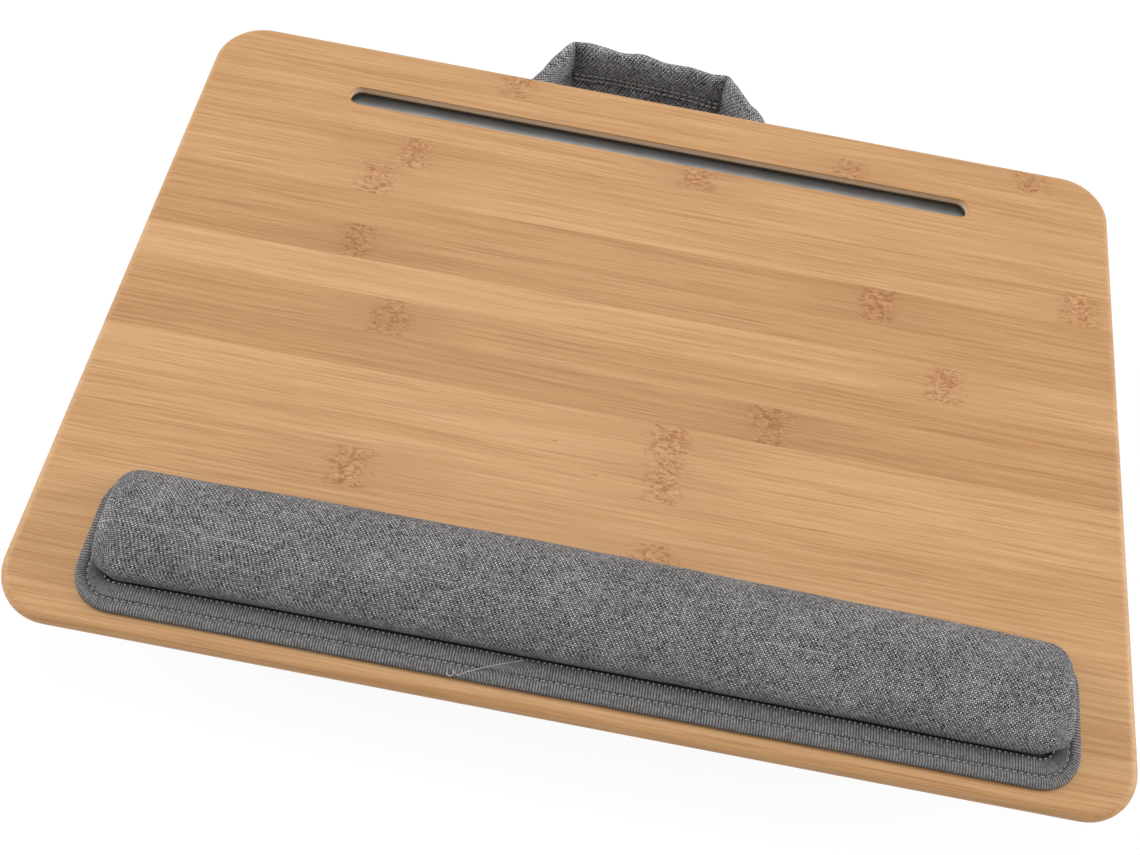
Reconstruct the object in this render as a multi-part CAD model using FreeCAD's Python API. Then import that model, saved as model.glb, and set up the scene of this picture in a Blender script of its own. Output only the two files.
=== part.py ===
import FreeCAD, Part
import math
import os

# Cushioned lap desk. Millimetres, +X along the board's width, +Y to the back, +Z up.
# The origin is the centre of the cushion's flat underside.

# Bamboo board
BOARD_WIDTH = 430.0
BOARD_DEPTH = 300.0
BOARD_THICKNESS = 5.0
BOARD_CORNER_RADIUS = 22.3
BOARD_TOP_ROUND = 4.3
BOARD_BOTTOM_ROUND = 0.5
STAVE_WIDTH = 17.6
BACK_STAVE_WIDTH = 15.3
NARROWEST_STAVE = 6.0

# Device slot near the board's back edge
SLOT_LENGTH = 294.5
SLOT_WIDTH = 10.3
SLOT_TO_BACK_EDGE = 31.7
SLOT_END_FLAT = 0.1
SLOT_EDGE_ROUND = 0.5

# Wrist rest on the board, its sewn flange measured over the tape
REST_WIDTH = 378.2
REST_DEPTH = 56.2
REST_OFF_CENTRE = 2.4
REST_TO_FRONT_EDGE = 7.2
REST_CORNER_RADIUS = 16.5
REST_HEIGHT = 18.0
REST_BELLY_HEIGHT = 9.0
REST_BELLY_FRONT = 1.2
REST_BELLY_BACK = 8.2
REST_BELLY_ENDS = 6.0
REST_BELLY_CORNER = 9.0
REST_BELLY_STEPS = 3
REST_BACK_BOW = 2.9
REST_SIDE_BOW = 0.8
REST_CROWN_CUT = 0.98
REST_CROWN_STEPS = 6
REST_CROWN_CORNER_SHARE = 0.85
REST_BASE_THICKNESS = 1.2
REST_COVER_THICKNESS = 0.6
REST_ADHESIVE_INSET = 6.5

# Binding tape round the flange, its slanted lap and its thread line
TAPE_THICKNESS = 0.5
TAPE_WIDTH = 11.2
TAPE_UNDER_WIDTH = 5.0
TAPE_EDGE_ROUND = 1.0
TAPE_LAP_THICKNESS = 0.35
TAPE_LAP_LEFT = -41.0
TAPE_LAP_WIDTH = 9.0
TAPE_LAP_SLANT = 22.0
REST_THREAD_WIDTH = 0.5
REST_THREAD_HEIGHT = 0.25
REST_THREAD_TO_EDGE = 4.8

# Cushion under the board
CUSHION_WIDTH = 386.0
CUSHION_DEPTH = 262.0
CUSHION_HEIGHT = 45.0
CUSHION_CORNER_RADIUS = 26.0
CUSHION_BELLY_HEIGHT = 28.0
CUSHION_TOP_DRAW_IN = 4.0
CUSHION_BOTTOM_DRAW_IN = 20.0
CUSHION_SIDE_BOW = 2.0
CUSHION_FLAT_CUT = 0.5
CUSHION_SEAM_HEIGHT = 8.0
CUSHION_CLOTH = 1.0
LINING_THICKNESS = 0.8
CUSHION_THREAD = 0.5
CUSHION_THREAD_HEIGHT = 0.8
BAND_STEPS = 8
BOTTOM_STEPS = 5

# Pads between the lining and the board
PAD_THICKNESS = 1.0
PAD_WIDTH = 20.0
PAD_LONG = 250.0
PAD_SHORT = 130.0
PAD_TO_SIDE_EDGE = 45.0
PAD_TO_END_EDGE = 56.0

# Carry loop behind the board
HANDLE_OFF_CENTRE = -9.3
HANDLE_SPAN = 78.0
HANDLE_BASE_SPAN = 132.8
HANDLE_REACH_LEFT = 31.7
HANDLE_REACH_RIGHT = 28.3
HANDLE_WIDTH = 34.0
HANDLE_THICKNESS = 3.0
HANDLE_EDGE_ROUND = 1.3
HANDLE_BEND = 3.0
HANDLE_TO_BOARD = 1.0
HANDLE_DROOP_DEG = 35.0
TAB_LENGTH = 30.0
TAB_STUB = 4.0
STUB_ROOT = 6.0
CORE_THICKNESS = 1.2
CORE_EDGE_MARGIN = 3.0
THREAD_SIZE = 0.6
THREAD_PROUD = 0.25
THREAD_ROW_GAP = 3.0
THREAD_ROWS_DROP = 1.5
THREAD_ROW_MARGIN = 6.0
BOX_STITCH_MARGIN = 5.0

# Fits and clearances
SEWN_GAP = 0.2
SOFT_GAP = 0.3
THREAD_GAP = 0.05
NEAR = 1e-6

# Heights and places that follow
BOARD_UNDERSIDE = CUSHION_HEIGHT + PAD_THICKNESS
BOARD_TOP = BOARD_UNDERSIDE + BOARD_THICKNESS
FRONT_EDGE = -BOARD_DEPTH / 2
BACK_EDGE = BOARD_DEPTH / 2
RIGHT_EDGE = BOARD_WIDTH / 2
SLOT_Y = BACK_EDGE - SLOT_TO_BACK_EDGE
CUSHION_BACK = CUSHION_DEPTH / 2 + CUSHION_SIDE_BOW
TOP_SEAM_LOW = CUSHION_HEIGHT - LINING_THICKNESS - CUSHION_THREAD_HEIGHT
STRAIGHT = (0.0, 0.0, 0.0, 0.0)
REACH = 1000.0


def vec(x, y, z=0.0):
    return FreeCAD.Vector(x, y, z)


def save(name, shape):
    """Writes one piece, or one group of like pieces, to its own file."""
    shape.exportStep(os.path.join("parts", name + ".step"))


def inset(box, left, right=None, front=None, back=None):
    """Draws a plan box (x0, x1, y0, y1) in from each side."""
    right = left if right is None else right
    front = left if front is None else front
    back = left if back is None else back
    return (box[0] + left, box[1] - right, box[2] + front, box[3] - back)


def side(start, end, bow):
    """One side of an outline: a line, or a shallow arc that bows out to its right."""
    if bow <= 0:
        return Part.LineSegment(start, end).toShape()
    run = end.sub(start)
    out = vec(run.y, -run.x).normalize()
    middle = start.add(end).multiply(0.5).add(out.multiply(bow))
    return Part.Arc(start, middle, end).toShape()


def corner_points(x, y, box, radius, start_deg, z):
    """Start, middle and end of the arc that rounds one corner of a plan box."""
    x0, x1, y0, y1 = box
    centre_x = x - math.copysign(radius, x - (x0 + x1) / 2)
    centre_y = y - math.copysign(radius, y - (y0 + y1) / 2)
    points = []
    for turn in (0, 45, 90):
        angle = math.radians(start_deg + turn)
        points.append(vec(centre_x + radius * math.cos(angle), centre_y + radius * math.sin(angle), z))
    return points


def outline(box, radius, z, bows=STRAIGHT):
    """A closed plan outline: four corner arcs joined by the right, back, left and front sides."""
    x0, x1, y0, y1 = box
    corners = ((x1, y0, -90), (x1, y1, 0), (x0, y1, 90), (x0, y0, 180))
    arcs = [corner_points(x, y, box, radius, start_deg, z) for x, y, start_deg in corners]
    edges = []
    for arc, following, bow in zip(arcs, arcs[1:] + arcs[:1], bows):
        edges.append(Part.Arc(*arc).toShape())
        edges.append(side(arc[2], following[0], bow))
    return Part.Wire(edges)


def plate(box, radius, low, high):
    """A flat plate with rounded corners between two heights."""
    return Part.Face(outline(box, radius, low)).extrude(vec(0, 0, high - low))


def prism(corners, low, high):
    """A plan polygon made solid between two heights."""
    points = [vec(corner.x, corner.y, low) for corner in corners]
    return Part.Face(Part.makePolygon(points + points[:1])).extrude(vec(0, 0, high - low))


def block(x0, x1, y0, y1, z0, z1):
    return Part.makeBox(x1 - x0, y1 - y0, z1 - z0, vec(x0, y0, z0))


def stack(wires):
    """A solid through a row of outlines, ruled from each to the next."""
    return Part.makeLoft(wires, True, True)


def flat_edges(shape, z):
    """The edges that lie at one height."""
    return [e for e in shape.Edges if abs(e.BoundBox.ZMin - z) < NEAR and abs(e.BoundBox.ZMax - z) < NEAR]


def board_blank():
    """The whole board with its rounded edges and its slot, before it is parted into staves."""
    rim = (-RIGHT_EDGE, RIGHT_EDGE, FRONT_EDGE, BACK_EDGE)
    board = plate(rim, BOARD_CORNER_RADIUS, BOARD_UNDERSIDE, BOARD_TOP)
    board = board.makeFillet(BOARD_TOP_ROUND, flat_edges(board, BOARD_TOP))
    board = board.makeFillet(BOARD_BOTTOM_ROUND, flat_edges(board, BOARD_UNDERSIDE))
    half = SLOT_WIDTH / 2
    slot_box = (-SLOT_LENGTH / 2, SLOT_LENGTH / 2, SLOT_Y - half, SLOT_Y + half)
    slot_radius = half - SLOT_END_FLAT / 2
    board = board.cut(plate(slot_box, slot_radius, BOARD_UNDERSIDE, BOARD_TOP))
    mouth = [e for e in flat_edges(board, BOARD_TOP) if inside(e.BoundBox, slot_box)]
    return board.makeFillet(SLOT_EDGE_ROUND, mouth)


def inside(box, plan):
    """Tells whether an edge's box lies within a plan box."""
    x0, x1, y0, y1 = plan
    in_x = box.XMin > x0 - NEAR and box.XMax < x1 + NEAR
    in_y = box.YMin > y0 - NEAR and box.YMax < y1 + NEAR
    return in_x and in_y


def stave_seams():
    """The glue seams from back to front; a strip too narrow to stand alone stays on the front stave."""
    seams = [BACK_EDGE]
    y = BACK_EDGE - BACK_STAVE_WIDTH
    while y > FRONT_EDGE + NARROWEST_STAVE:
        seams.append(y)
        y -= STAVE_WIDTH
    seams.append(FRONT_EDGE)
    return seams


def make_board():
    board = board_blank()
    seams = stave_seams()
    for number in range(1, len(seams)):
        strip = block(-REACH, REACH, seams[number], seams[number - 1], 0, REACH)
        save("bamboo_stave_%02d" % number, board.common(strip).Solids[0])


def rest_box():
    """Plan box of the wrist rest over its tape."""
    x0 = REST_OFF_CENTRE - REST_WIDTH / 2
    y0 = FRONT_EDGE + REST_TO_FRONT_EDGE
    return (x0, x0 + REST_WIDTH, y0, y0 + REST_DEPTH)


def rest_levels():
    """Heights of the wrist rest's layers, from the board up."""
    tape_low = BOARD_TOP + THREAD_GAP
    base_low = tape_low + TAPE_THICKNESS
    skirt_low = base_low + REST_BASE_THICKNESS
    tape_high = skirt_low + REST_COVER_THICKNESS
    return tape_low, base_low, skirt_low, tape_high, tape_high + TAPE_THICKNESS


def rest_bows(share):
    """How far the wrist rest's right, back, left and front sides bow out, as a share of the most."""
    return (REST_SIDE_BOW * share, REST_BACK_BOW * share, REST_SIDE_BOW * share, REST_SIDE_BOW * share)


def rest_dome(low, skin):
    """The crowned body of the wrist rest: up off the flange, out to its belly, then over its crown.
    It starts at the height low; skin is how far it lies inside the cover's outer face."""
    flange_top = rest_levels()[4] + SEWN_GAP
    crease = inset(rest_box(), TAPE_WIDTH + SEWN_GAP)
    crease_radius = REST_CORNER_RADIUS - TAPE_WIDTH - SEWN_GAP
    belly = (
        crease[0] - REST_BELLY_ENDS,
        crease[1] + REST_BELLY_ENDS,
        crease[2] - REST_BELLY_FRONT,
        crease[3] + REST_BELLY_BACK,
    )
    belly_z = BOARD_TOP + REST_BELLY_HEIGHT
    wires = [
        outline(inset(crease, skin), crease_radius - skin, low),
        outline(inset(crease, skin), crease_radius - skin, flange_top),
    ]
    for step in range(1, REST_BELLY_STEPS):
        angle = math.pi / 2 * step / REST_BELLY_STEPS
        share = math.sin(angle)
        plan = tuple(c + (b - c) * share for c, b in zip(crease, belly))
        radius = crease_radius + (REST_BELLY_CORNER - crease_radius) * share
        z = flange_top + (belly_z - flange_top) * (1 - math.cos(angle))
        wires.append(outline(inset(plan, skin), radius - skin, z, rest_bows(share)))
    run = (belly[3] - belly[2]) / 2
    rise = (REST_HEIGHT - REST_BELLY_HEIGHT) / REST_CROWN_CUT
    last = math.asin(REST_CROWN_CUT)
    for step in range(REST_CROWN_STEPS + 1):
        angle = last * step / REST_CROWN_STEPS
        drawn = run * (1 - math.cos(angle))
        radius = min(REST_BELLY_CORNER, (run - drawn) * REST_CROWN_CORNER_SHARE) - skin
        z = belly_z + (rise - skin) * math.sin(angle)
        wires.append(outline(inset(belly, drawn + skin), radius, z, rest_bows(math.cos(angle))))
    return stack(wires)


def make_wrist_rest():
    tape_low, base_low, skirt_low, tape_high, top = rest_levels()
    box = rest_box()
    inner = inset(box, TAPE_THICKNESS)
    inner_radius = REST_CORNER_RADIUS - TAPE_THICKNESS
    save("wrist_rest_base", plate(inner, inner_radius, base_low, skirt_low))
    foam = rest_dome(skirt_low, REST_COVER_THICKNESS)
    save("wrist_rest_foam", foam)
    skirt = plate(inner, inner_radius, skirt_low, tape_high)
    save("wrist_rest_cover", skirt.fuse(rest_dome(tape_high, 0.0)).removeSplitter().cut(foam).Solids[0])
    save("wrist_rest_binding", binding(box, inner, inner_radius, tape_low, base_low, tape_high, top))
    save("wrist_rest_binding_end", binding_end(box, top))
    save("wrist_rest_stitching", tape_thread(box, top))
    pad_box = inset(box, REST_ADHESIVE_INSET)
    save("wrist_rest_adhesive", plate(pad_box, REST_CORNER_RADIUS - REST_ADHESIVE_INSET, BOARD_TOP, base_low))


def binding(box, inner, inner_radius, tape_low, base_low, tape_high, top):
    """Tape folded round the flange's edge: a narrow leg below, a wide one above."""
    tape = plate(box, REST_CORNER_RADIUS, tape_low, top)
    tape = tape.makeFillet(TAPE_EDGE_ROUND, flat_edges(tape, top))
    tape = tape.cut(plate(inner, inner_radius, base_low, tape_high))
    above = inset(box, TAPE_WIDTH)
    below = inset(box, TAPE_UNDER_WIDTH)
    tape = tape.cut(plate(above, REST_CORNER_RADIUS - TAPE_WIDTH, tape_high, top + SOFT_GAP))
    return tape.cut(plate(below, REST_CORNER_RADIUS - TAPE_UNDER_WIDTH, BOARD_TOP, base_low)).Solids[0]


def binding_end(box, top):
    """The tape's folded end, cut on a slant and lapped over its start."""
    front = box[2] + TAPE_EDGE_ROUND
    back = box[2] + TAPE_WIDTH
    left = TAPE_LAP_LEFT
    corners = [
        vec(left, front),
        vec(left + TAPE_LAP_WIDTH, front),
        vec(left + TAPE_LAP_WIDTH + TAPE_LAP_SLANT, back),
        vec(left + TAPE_LAP_SLANT, back),
    ]
    return prism(corners, top, top + TAPE_LAP_THICKNESS)


def tape_thread(box, top):
    """The thread line along the tape, broken where the tape's end laps over it."""
    outer = inset(box, REST_THREAD_TO_EDGE)
    inner = inset(outer, REST_THREAD_WIDTH)
    radius = REST_CORNER_RADIUS - REST_THREAD_TO_EDGE
    ring = plate(outer, radius, top, top + REST_THREAD_HEIGHT)
    ring = ring.cut(plate(inner, radius - REST_THREAD_WIDTH, top, top + REST_THREAD_HEIGHT))
    end = TAPE_LAP_LEFT + TAPE_LAP_WIDTH + TAPE_LAP_SLANT
    start = TAPE_LAP_LEFT - SOFT_GAP
    lap = block(start, end + SOFT_GAP, box[2], box[2] + TAPE_WIDTH, top, top + TAPE_THICKNESS)
    return ring.cut(lap).Solids[0]


def cushion_inset(z):
    """How far the cushion's side is drawn in at a height, from its belly."""
    if z >= CUSHION_BELLY_HEIGHT:
        share = (z - CUSHION_BELLY_HEIGHT) / (CUSHION_HEIGHT - CUSHION_BELLY_HEIGHT)
        return CUSHION_TOP_DRAW_IN * share * share
    share = (CUSHION_BELLY_HEIGHT - z) / (CUSHION_BELLY_HEIGHT + CUSHION_FLAT_CUT)
    return CUSHION_BOTTOM_DRAW_IN * (1 - math.sqrt(1 - share * share))


def cushion_outline(z, skin, at=None):
    """The cushion's outline at a height; at gives the height it is drawn at where that differs."""
    drawn = cushion_inset(z) + skin
    half_x = CUSHION_WIDTH / 2 - drawn
    half_y = CUSHION_DEPTH / 2 - drawn
    box = (-half_x, half_x, -half_y, half_y)
    bows = [CUSHION_SIDE_BOW] * len(box)
    return outline(box, CUSHION_CORNER_RADIUS - drawn, z if at is None else at, bows)


def cushion_body(low, high, steps, skin=0.0):
    """The cushion's body between two heights."""
    heights = [low + (high - low) * step / steps for step in range(steps + 1)]
    return stack([cushion_outline(z, skin) for z in heights])


def upright_body(widest, skin, low, high):
    """A body with upright sides, as wide as the cushion is at the height widest."""
    return stack([cushion_outline(widest, skin, z) for z in (low, high)])


def thread_ring(low, high, widest):
    """A sewing thread that lies in a seam round the cushion."""
    ring = upright_body(widest, -THREAD_GAP - CUSHION_THREAD, low, high)
    return ring.cut(upright_body(widest, -THREAD_GAP, low, high)).Solids[0]


def make_cushion():
    lining_low = CUSHION_HEIGHT - LINING_THICKNESS
    seam = CUSHION_SEAM_HEIGHT
    core = cushion_body(seam, lining_low, BAND_STEPS, CUSHION_CLOTH)
    save("cushion_side_band", cushion_body(seam, lining_low, BAND_STEPS).cut(core).Solids[0])
    foot = cushion_body(CUSHION_CLOTH, seam, BOTTOM_STEPS, CUSHION_CLOTH)
    save("cushion_bottom_panel", cushion_body(0.0, seam, BOTTOM_STEPS).cut(foot).Solids[0])
    save("cushion_filling", core.fuse(foot).removeSplitter())
    save("cushion_lining", cushion_body(lining_low, CUSHION_HEIGHT, 1))
    half = CUSHION_THREAD_HEIGHT / 2
    save("cushion_bottom_seam", thread_ring(seam - half, seam + half, seam + half))
    save("cushion_top_seam", thread_ring(TOP_SEAM_LOW, lining_low, TOP_SEAM_LOW))
    save("cushion_mounting_pads", mounting_pads())


def mounting_pads():
    """Four flat pads on the lining: one along each side of the board."""
    side_y = BOARD_DEPTH / 2 - PAD_TO_SIDE_EDGE
    end_x = BOARD_WIDTH / 2 - PAD_TO_END_EDGE
    half = PAD_WIDTH / 2
    pads = []
    for sign in (-1, 1):
        pads.append((-PAD_LONG / 2, PAD_LONG / 2, sign * side_y - half, sign * side_y + half))
        pads.append((sign * end_x - half, sign * end_x + half, -PAD_SHORT / 2, PAD_SHORT / 2))
    return Part.makeCompound([block(*pad, CUSHION_HEIGHT, BOARD_UNDERSIDE) for pad in pads])


def moved_out(start, end, grow):
    """A line in plan, moved to its left by grow: one point on it and its direction."""
    run = end.sub(start).normalize()
    return start.add(vec(-run.y, run.x).multiply(grow)), run


def meeting(line, other):
    """The point in plan where two lines cross."""
    (a, run), (b, across) = line, other
    gap = b.sub(a)
    along = (gap.x * across.y - gap.y * across.x) / (run.x * across.y - run.y * across.x)
    return a.add(vec(run.x * along, run.y * along))


def handle_path(grow, start_y):
    """Corner points of the loop's line in plan, moved out by grow, from its left foot to its right one.
    The legs start at start_y."""
    root_y = CUSHION_BACK + SOFT_GAP + HANDLE_THICKNESS / 2
    centres = [
        vec(HANDLE_OFF_CENTRE - HANDLE_BASE_SPAN / 2, root_y),
        vec(HANDLE_OFF_CENTRE - HANDLE_SPAN / 2, BACK_EDGE + HANDLE_REACH_LEFT),
        vec(HANDLE_OFF_CENTRE + HANDLE_SPAN / 2, BACK_EDGE + HANDLE_REACH_RIGHT),
        vec(HANDLE_OFF_CENTRE + HANDLE_BASE_SPAN / 2, root_y),
    ]
    left, middle, right = [moved_out(a, b, grow) for a, b in zip(centres, centres[1:])]
    start = (vec(0, start_y), vec(1, 0))
    return [meeting(left, start), meeting(left, middle), meeting(middle, right), meeting(right, start)]


def rounded_path(points, radius):
    """Edges along points, each inner corner rounded by an arc of one radius."""
    edges = []
    start = points[0]
    for before, corner, after in zip(points, points[1:], points[2:]):
        back = before.sub(corner).normalize()
        ahead = after.sub(corner).normalize()
        half = math.acos(max(-1.0, min(1.0, back.dot(ahead)))) / 2
        cut = radius / math.tan(half)
        bisector = back.add(ahead).normalize()
        middle = corner.add(bisector.multiply(radius / math.sin(half) - radius))
        enter = corner.add(back.multiply(cut))
        leave = corner.add(ahead.multiply(cut))
        edges.append(Part.LineSegment(start, enter).toShape())
        edges.append(Part.Arc(enter, middle, leave).toShape())
        start = leave
    edges.append(Part.LineSegment(start, points[-1]).toShape())
    return edges


def loop_band(thickness, low, high, start_y):
    """The loop as a band on edge, of one thickness, between two heights."""
    outer = handle_path(thickness / 2, start_y)
    inner = handle_path(-thickness / 2, start_y)
    edges = rounded_path(outer, HANDLE_BEND + thickness)
    edges.append(Part.LineSegment(outer[-1], inner[-1]).toShape())
    edges += rounded_path(inner[::-1], HANDLE_BEND)
    edges.append(Part.LineSegment(inner[0], outer[0]).toShape())
    band = Part.Face(Part.Wire(Part.__sortEdges__(edges))).extrude(vec(0, 0, high - low))
    band.translate(vec(0, 0, low))
    return band


def handle_heights():
    high = BOARD_UNDERSIDE - HANDLE_TO_BOARD
    return high - HANDLE_WIDTH, high


def hinge_line():
    """Where the loop folds: y and z of the line along X just clear of the sewn ends."""
    low, high = handle_heights()
    return CUSHION_BACK + SOFT_GAP + HANDLE_THICKNESS + TAB_STUB, (low + high) / 2


def droop_wedge():
    """The room that the loop's lower half needs to swing down without meeting the sewn ends."""
    y, z = hinge_line()
    drop = HANDLE_WIDTH
    run = drop * math.tan(math.radians(HANDLE_DROOP_DEG))
    start = y - HANDLE_THICKNESS
    corners = [
        vec(-REACH, start, z),
        vec(-REACH, y, z),
        vec(-REACH, y + run, z - drop),
        vec(-REACH, start, z - drop),
    ]
    return Part.Face(Part.makePolygon(corners + corners[:1])).extrude(vec(2 * REACH, 0, 0))


def long_edges(band, low, high, start_y):
    """The band's long edges, above and below, without those across its two ends."""
    found = []
    for edge in flat_edges(band, low) + flat_edges(band, high):
        box = edge.BoundBox
        across_end = abs(box.YMin - start_y) < NEAR and abs(box.YMax - start_y) < NEAR
        if not across_end:
            found.append(edge)
    return found


def make_handle():
    low, high = handle_heights()
    hinge_y, hinge_z = hinge_line()
    start = hinge_y + SOFT_GAP
    band = loop_band(HANDLE_THICKNESS, low, high, start)
    band = band.makeFillet(HANDLE_EDGE_ROUND, long_edges(band, low, high, start))
    margin = CORE_EDGE_MARGIN
    core = loop_band(CORE_THICKNESS, low + margin, high - margin, start + margin)
    wedge = droop_wedge()
    core = core.cut(wedge.translated(vec(0, margin, 0)))
    save("handle_core", core.Solids[0])
    save("handle_strap", band.cut(wedge).cut(core).Solids[0])
    save("handle_stitching", loop_threads(hinge_y, hinge_z - THREAD_ROWS_DROP))
    for name, sign in (("handle_tab_left", -1), ("handle_tab_right", 1)):
        save(name, sewn_tab(sign, low, high, hinge_y))
    save("handle_tab_stitching", tab_threads(low, high))


def loop_threads(start_y, middle_z):
    """Two thread rows along the loop's inner face."""
    face = handle_path(-HANDLE_THICKNESS / 2, start_y)[1:3]
    proud = handle_path(-HANDLE_THICKNESS / 2 - THREAD_PROUD, start_y)[1:3]
    margin = face[1].sub(face[0]).normalize().multiply(THREAD_ROW_MARGIN)
    corners = [face[0].add(margin), face[1].sub(margin), proud[1].sub(margin), proud[0].add(margin)]
    rows = []
    for sign in (-1, 1):
        low = middle_z + sign * THREAD_ROW_GAP / 2 - THREAD_SIZE / 2
        rows.append(prism(corners, low, low + THREAD_SIZE))
    return Part.makeCompound(rows)


def tab_span(sign):
    """The x range of one sewn end; sign is -1 for the left one, 1 for the right one."""
    near = HANDLE_OFF_CENTRE + sign * HANDLE_BASE_SPAN / 2
    far = near + sign * TAB_LENGTH
    return min(near, far), max(near, far)


def on_band(low, high, gap, thickness):
    """A layer that follows the cushion's side between two heights, gap clear of it."""
    outer = cushion_body(low, high, BAND_STEPS, -gap - thickness)
    return outer.cut(cushion_body(low, high, BAND_STEPS, -gap))


def sewn_tab(sign, low, high, hinge_y):
    """One end of the strap: laid on the side band, with the stub that turns out towards the loop."""
    x0, x1 = tab_span(sign)
    flat = on_band(low, high, SEWN_GAP, HANDLE_THICKNESS).common(block(x0, x1, 0, REACH, low, high))
    foot = 0 if sign < 0 else -1
    outer = handle_path(HANDLE_THICKNESS / 2, hinge_y)[foot]
    inner = handle_path(-HANDLE_THICKNESS / 2, hinge_y)[foot]
    near = HANDLE_OFF_CENTRE + sign * HANDLE_BASE_SPAN / 2
    root_y = CUSHION_DEPTH / 2 - CUSHION_CORNER_RADIUS
    corners = [
        vec(near - sign * HANDLE_THICKNESS, root_y),
        vec(near + sign * STUB_ROOT, root_y),
        vec(near + sign * STUB_ROOT, CUSHION_BACK),
        outer,
        inner,
        vec(near - sign * HANDLE_THICKNESS, CUSHION_BACK),
    ]
    stub = prism(corners, low, high).cut(cushion_body(low, high, BAND_STEPS, -SEWN_GAP))
    over_thread = -THREAD_GAP - CUSHION_THREAD - SEWN_GAP
    seam_room = upright_body(TOP_SEAM_LOW, over_thread, TOP_SEAM_LOW - SEWN_GAP, high)
    return flat.fuse(stub).removeSplitter().cut(seam_room).Solids[0]


def tab_threads(low, high):
    """A square of thread on each sewn end."""
    layer = on_band(low, high, SEWN_GAP + HANDLE_THICKNESS, THREAD_PROUD)
    frames = []
    for sign in (-1, 1):
        x0, x1 = tab_span(sign)
        x0 += BOX_STITCH_MARGIN + (STUB_ROOT if sign > 0 else 0)
        x1 -= BOX_STITCH_MARGIN + (STUB_ROOT if sign < 0 else 0)
        z0 = low + BOX_STITCH_MARGIN
        z1 = high - BOX_STITCH_MARGIN
        t = THREAD_SIZE
        frame = block(x0, x1, 0, REACH, z0, z1).cut(block(x0 + t, x1 - t, 0, REACH, z0 + t, z1 - t))
        frames.append(layer.common(frame).Solids[0])
    return Part.makeCompound(frames)


os.makedirs("parts", exist_ok=True)
make_board()
make_wrist_rest()
make_cushion()
make_handle()
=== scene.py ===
import math

import bmesh
import bpy
import numpy as np
from bpy.props import FloatProperty, FloatVectorProperty, IntProperty, PointerProperty
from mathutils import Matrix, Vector, noise


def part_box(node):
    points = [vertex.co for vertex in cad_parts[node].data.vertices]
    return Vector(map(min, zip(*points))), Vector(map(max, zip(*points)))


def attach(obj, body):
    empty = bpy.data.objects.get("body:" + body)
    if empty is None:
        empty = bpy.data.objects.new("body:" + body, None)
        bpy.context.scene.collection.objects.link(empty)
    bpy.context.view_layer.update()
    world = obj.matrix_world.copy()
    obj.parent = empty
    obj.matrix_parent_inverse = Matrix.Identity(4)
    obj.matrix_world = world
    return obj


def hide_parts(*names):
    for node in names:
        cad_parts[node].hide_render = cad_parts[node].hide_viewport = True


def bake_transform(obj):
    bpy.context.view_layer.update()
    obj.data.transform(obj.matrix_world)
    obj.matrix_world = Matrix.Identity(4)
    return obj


bl_info = {
    "name": "Cushioned lap desk",
    "version": (1, 0, 0),
    "blender": (4, 5, 0),
    "location": "3D View > Sidebar > Lap Desk",
    "description": "Finishes a bamboo lap desk: its board, wrist rest, cushion and carry loop",
    "category": "Object",
}

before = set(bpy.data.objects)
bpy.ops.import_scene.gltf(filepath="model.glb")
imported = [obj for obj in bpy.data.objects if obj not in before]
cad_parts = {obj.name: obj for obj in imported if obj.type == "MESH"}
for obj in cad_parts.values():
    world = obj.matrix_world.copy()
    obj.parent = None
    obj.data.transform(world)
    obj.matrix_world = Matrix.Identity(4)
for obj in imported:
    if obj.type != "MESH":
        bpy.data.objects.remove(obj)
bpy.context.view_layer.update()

BASE = "lap_desk"
LOOP = "carry_loop"
REST_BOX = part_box("wrist_rest_binding")
PAD_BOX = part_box("wrist_rest_cover")
BOARD_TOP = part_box("bamboo_stave_09")[1].z

# Brightness of each stave, from the back edge to the front one, against the board's average
STAVE_TONES = (
    *(0.98, 0.99, 0.98, 1.0, 1.03, 0.91, 0.89, 1.035, 0.92),
    *(0.885, 1.02, 1.03, 0.98, 1.0, 1.01, 0.98, 0.99),
)
# Where the growth rings of the cane cross each stave, along X
KNUCKLES = {
    1: (-0.0717, 0.1767),
    2: (0.0905,),
    3: (0.0193,),
    4: (-0.110,),
    5: (-0.1233, 0.198),
    6: (0.1067,),
    7: (-0.1233,),
    8: (0.1383,),
    9: (-0.100,),
    10: (0.0643,),
    11: (0.0243,),
    12: (0.0243,),
    13: (-0.099,),
    14: (0.025,),
    15: (-0.158,),
    16: (0.121,),
    17: (),
}
# Staves the slot is cut in, and its plan box drawn out to take in its rounded rim
SLOT_STAVES = (2, 3)
SLOT_BOX = ((-0.1478, 0.1126), (0.1478, 0.1240))
# Small dark flaws: stave, then X and Y of each
FLAWS = {11: (-0.0217, -0.040), 12: (-0.0033, -0.0517)}

# Height of the cushion's belly, its half width and depth, corner radius and bow of each side, and the
# heights of its two seams and its top
CUSHION_BELLY = 0.028
CUSHION_HALF = (0.193, 0.131)
CUSHION_CORNER = 0.026
CUSHION_BOW = 0.002
CUSHION_BOTTOM_SEAM = 0.008
CUSHION_TOP_SEAM = 0.0436
CUSHION_TOP = 0.045


def tint(name, description, value):
    return FloatVectorProperty(name=name, description=description, subtype="COLOR", default=value)


def measure(name, description, value):
    return FloatProperty(name=name, description=description, unit="LENGTH", default=value)


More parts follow.
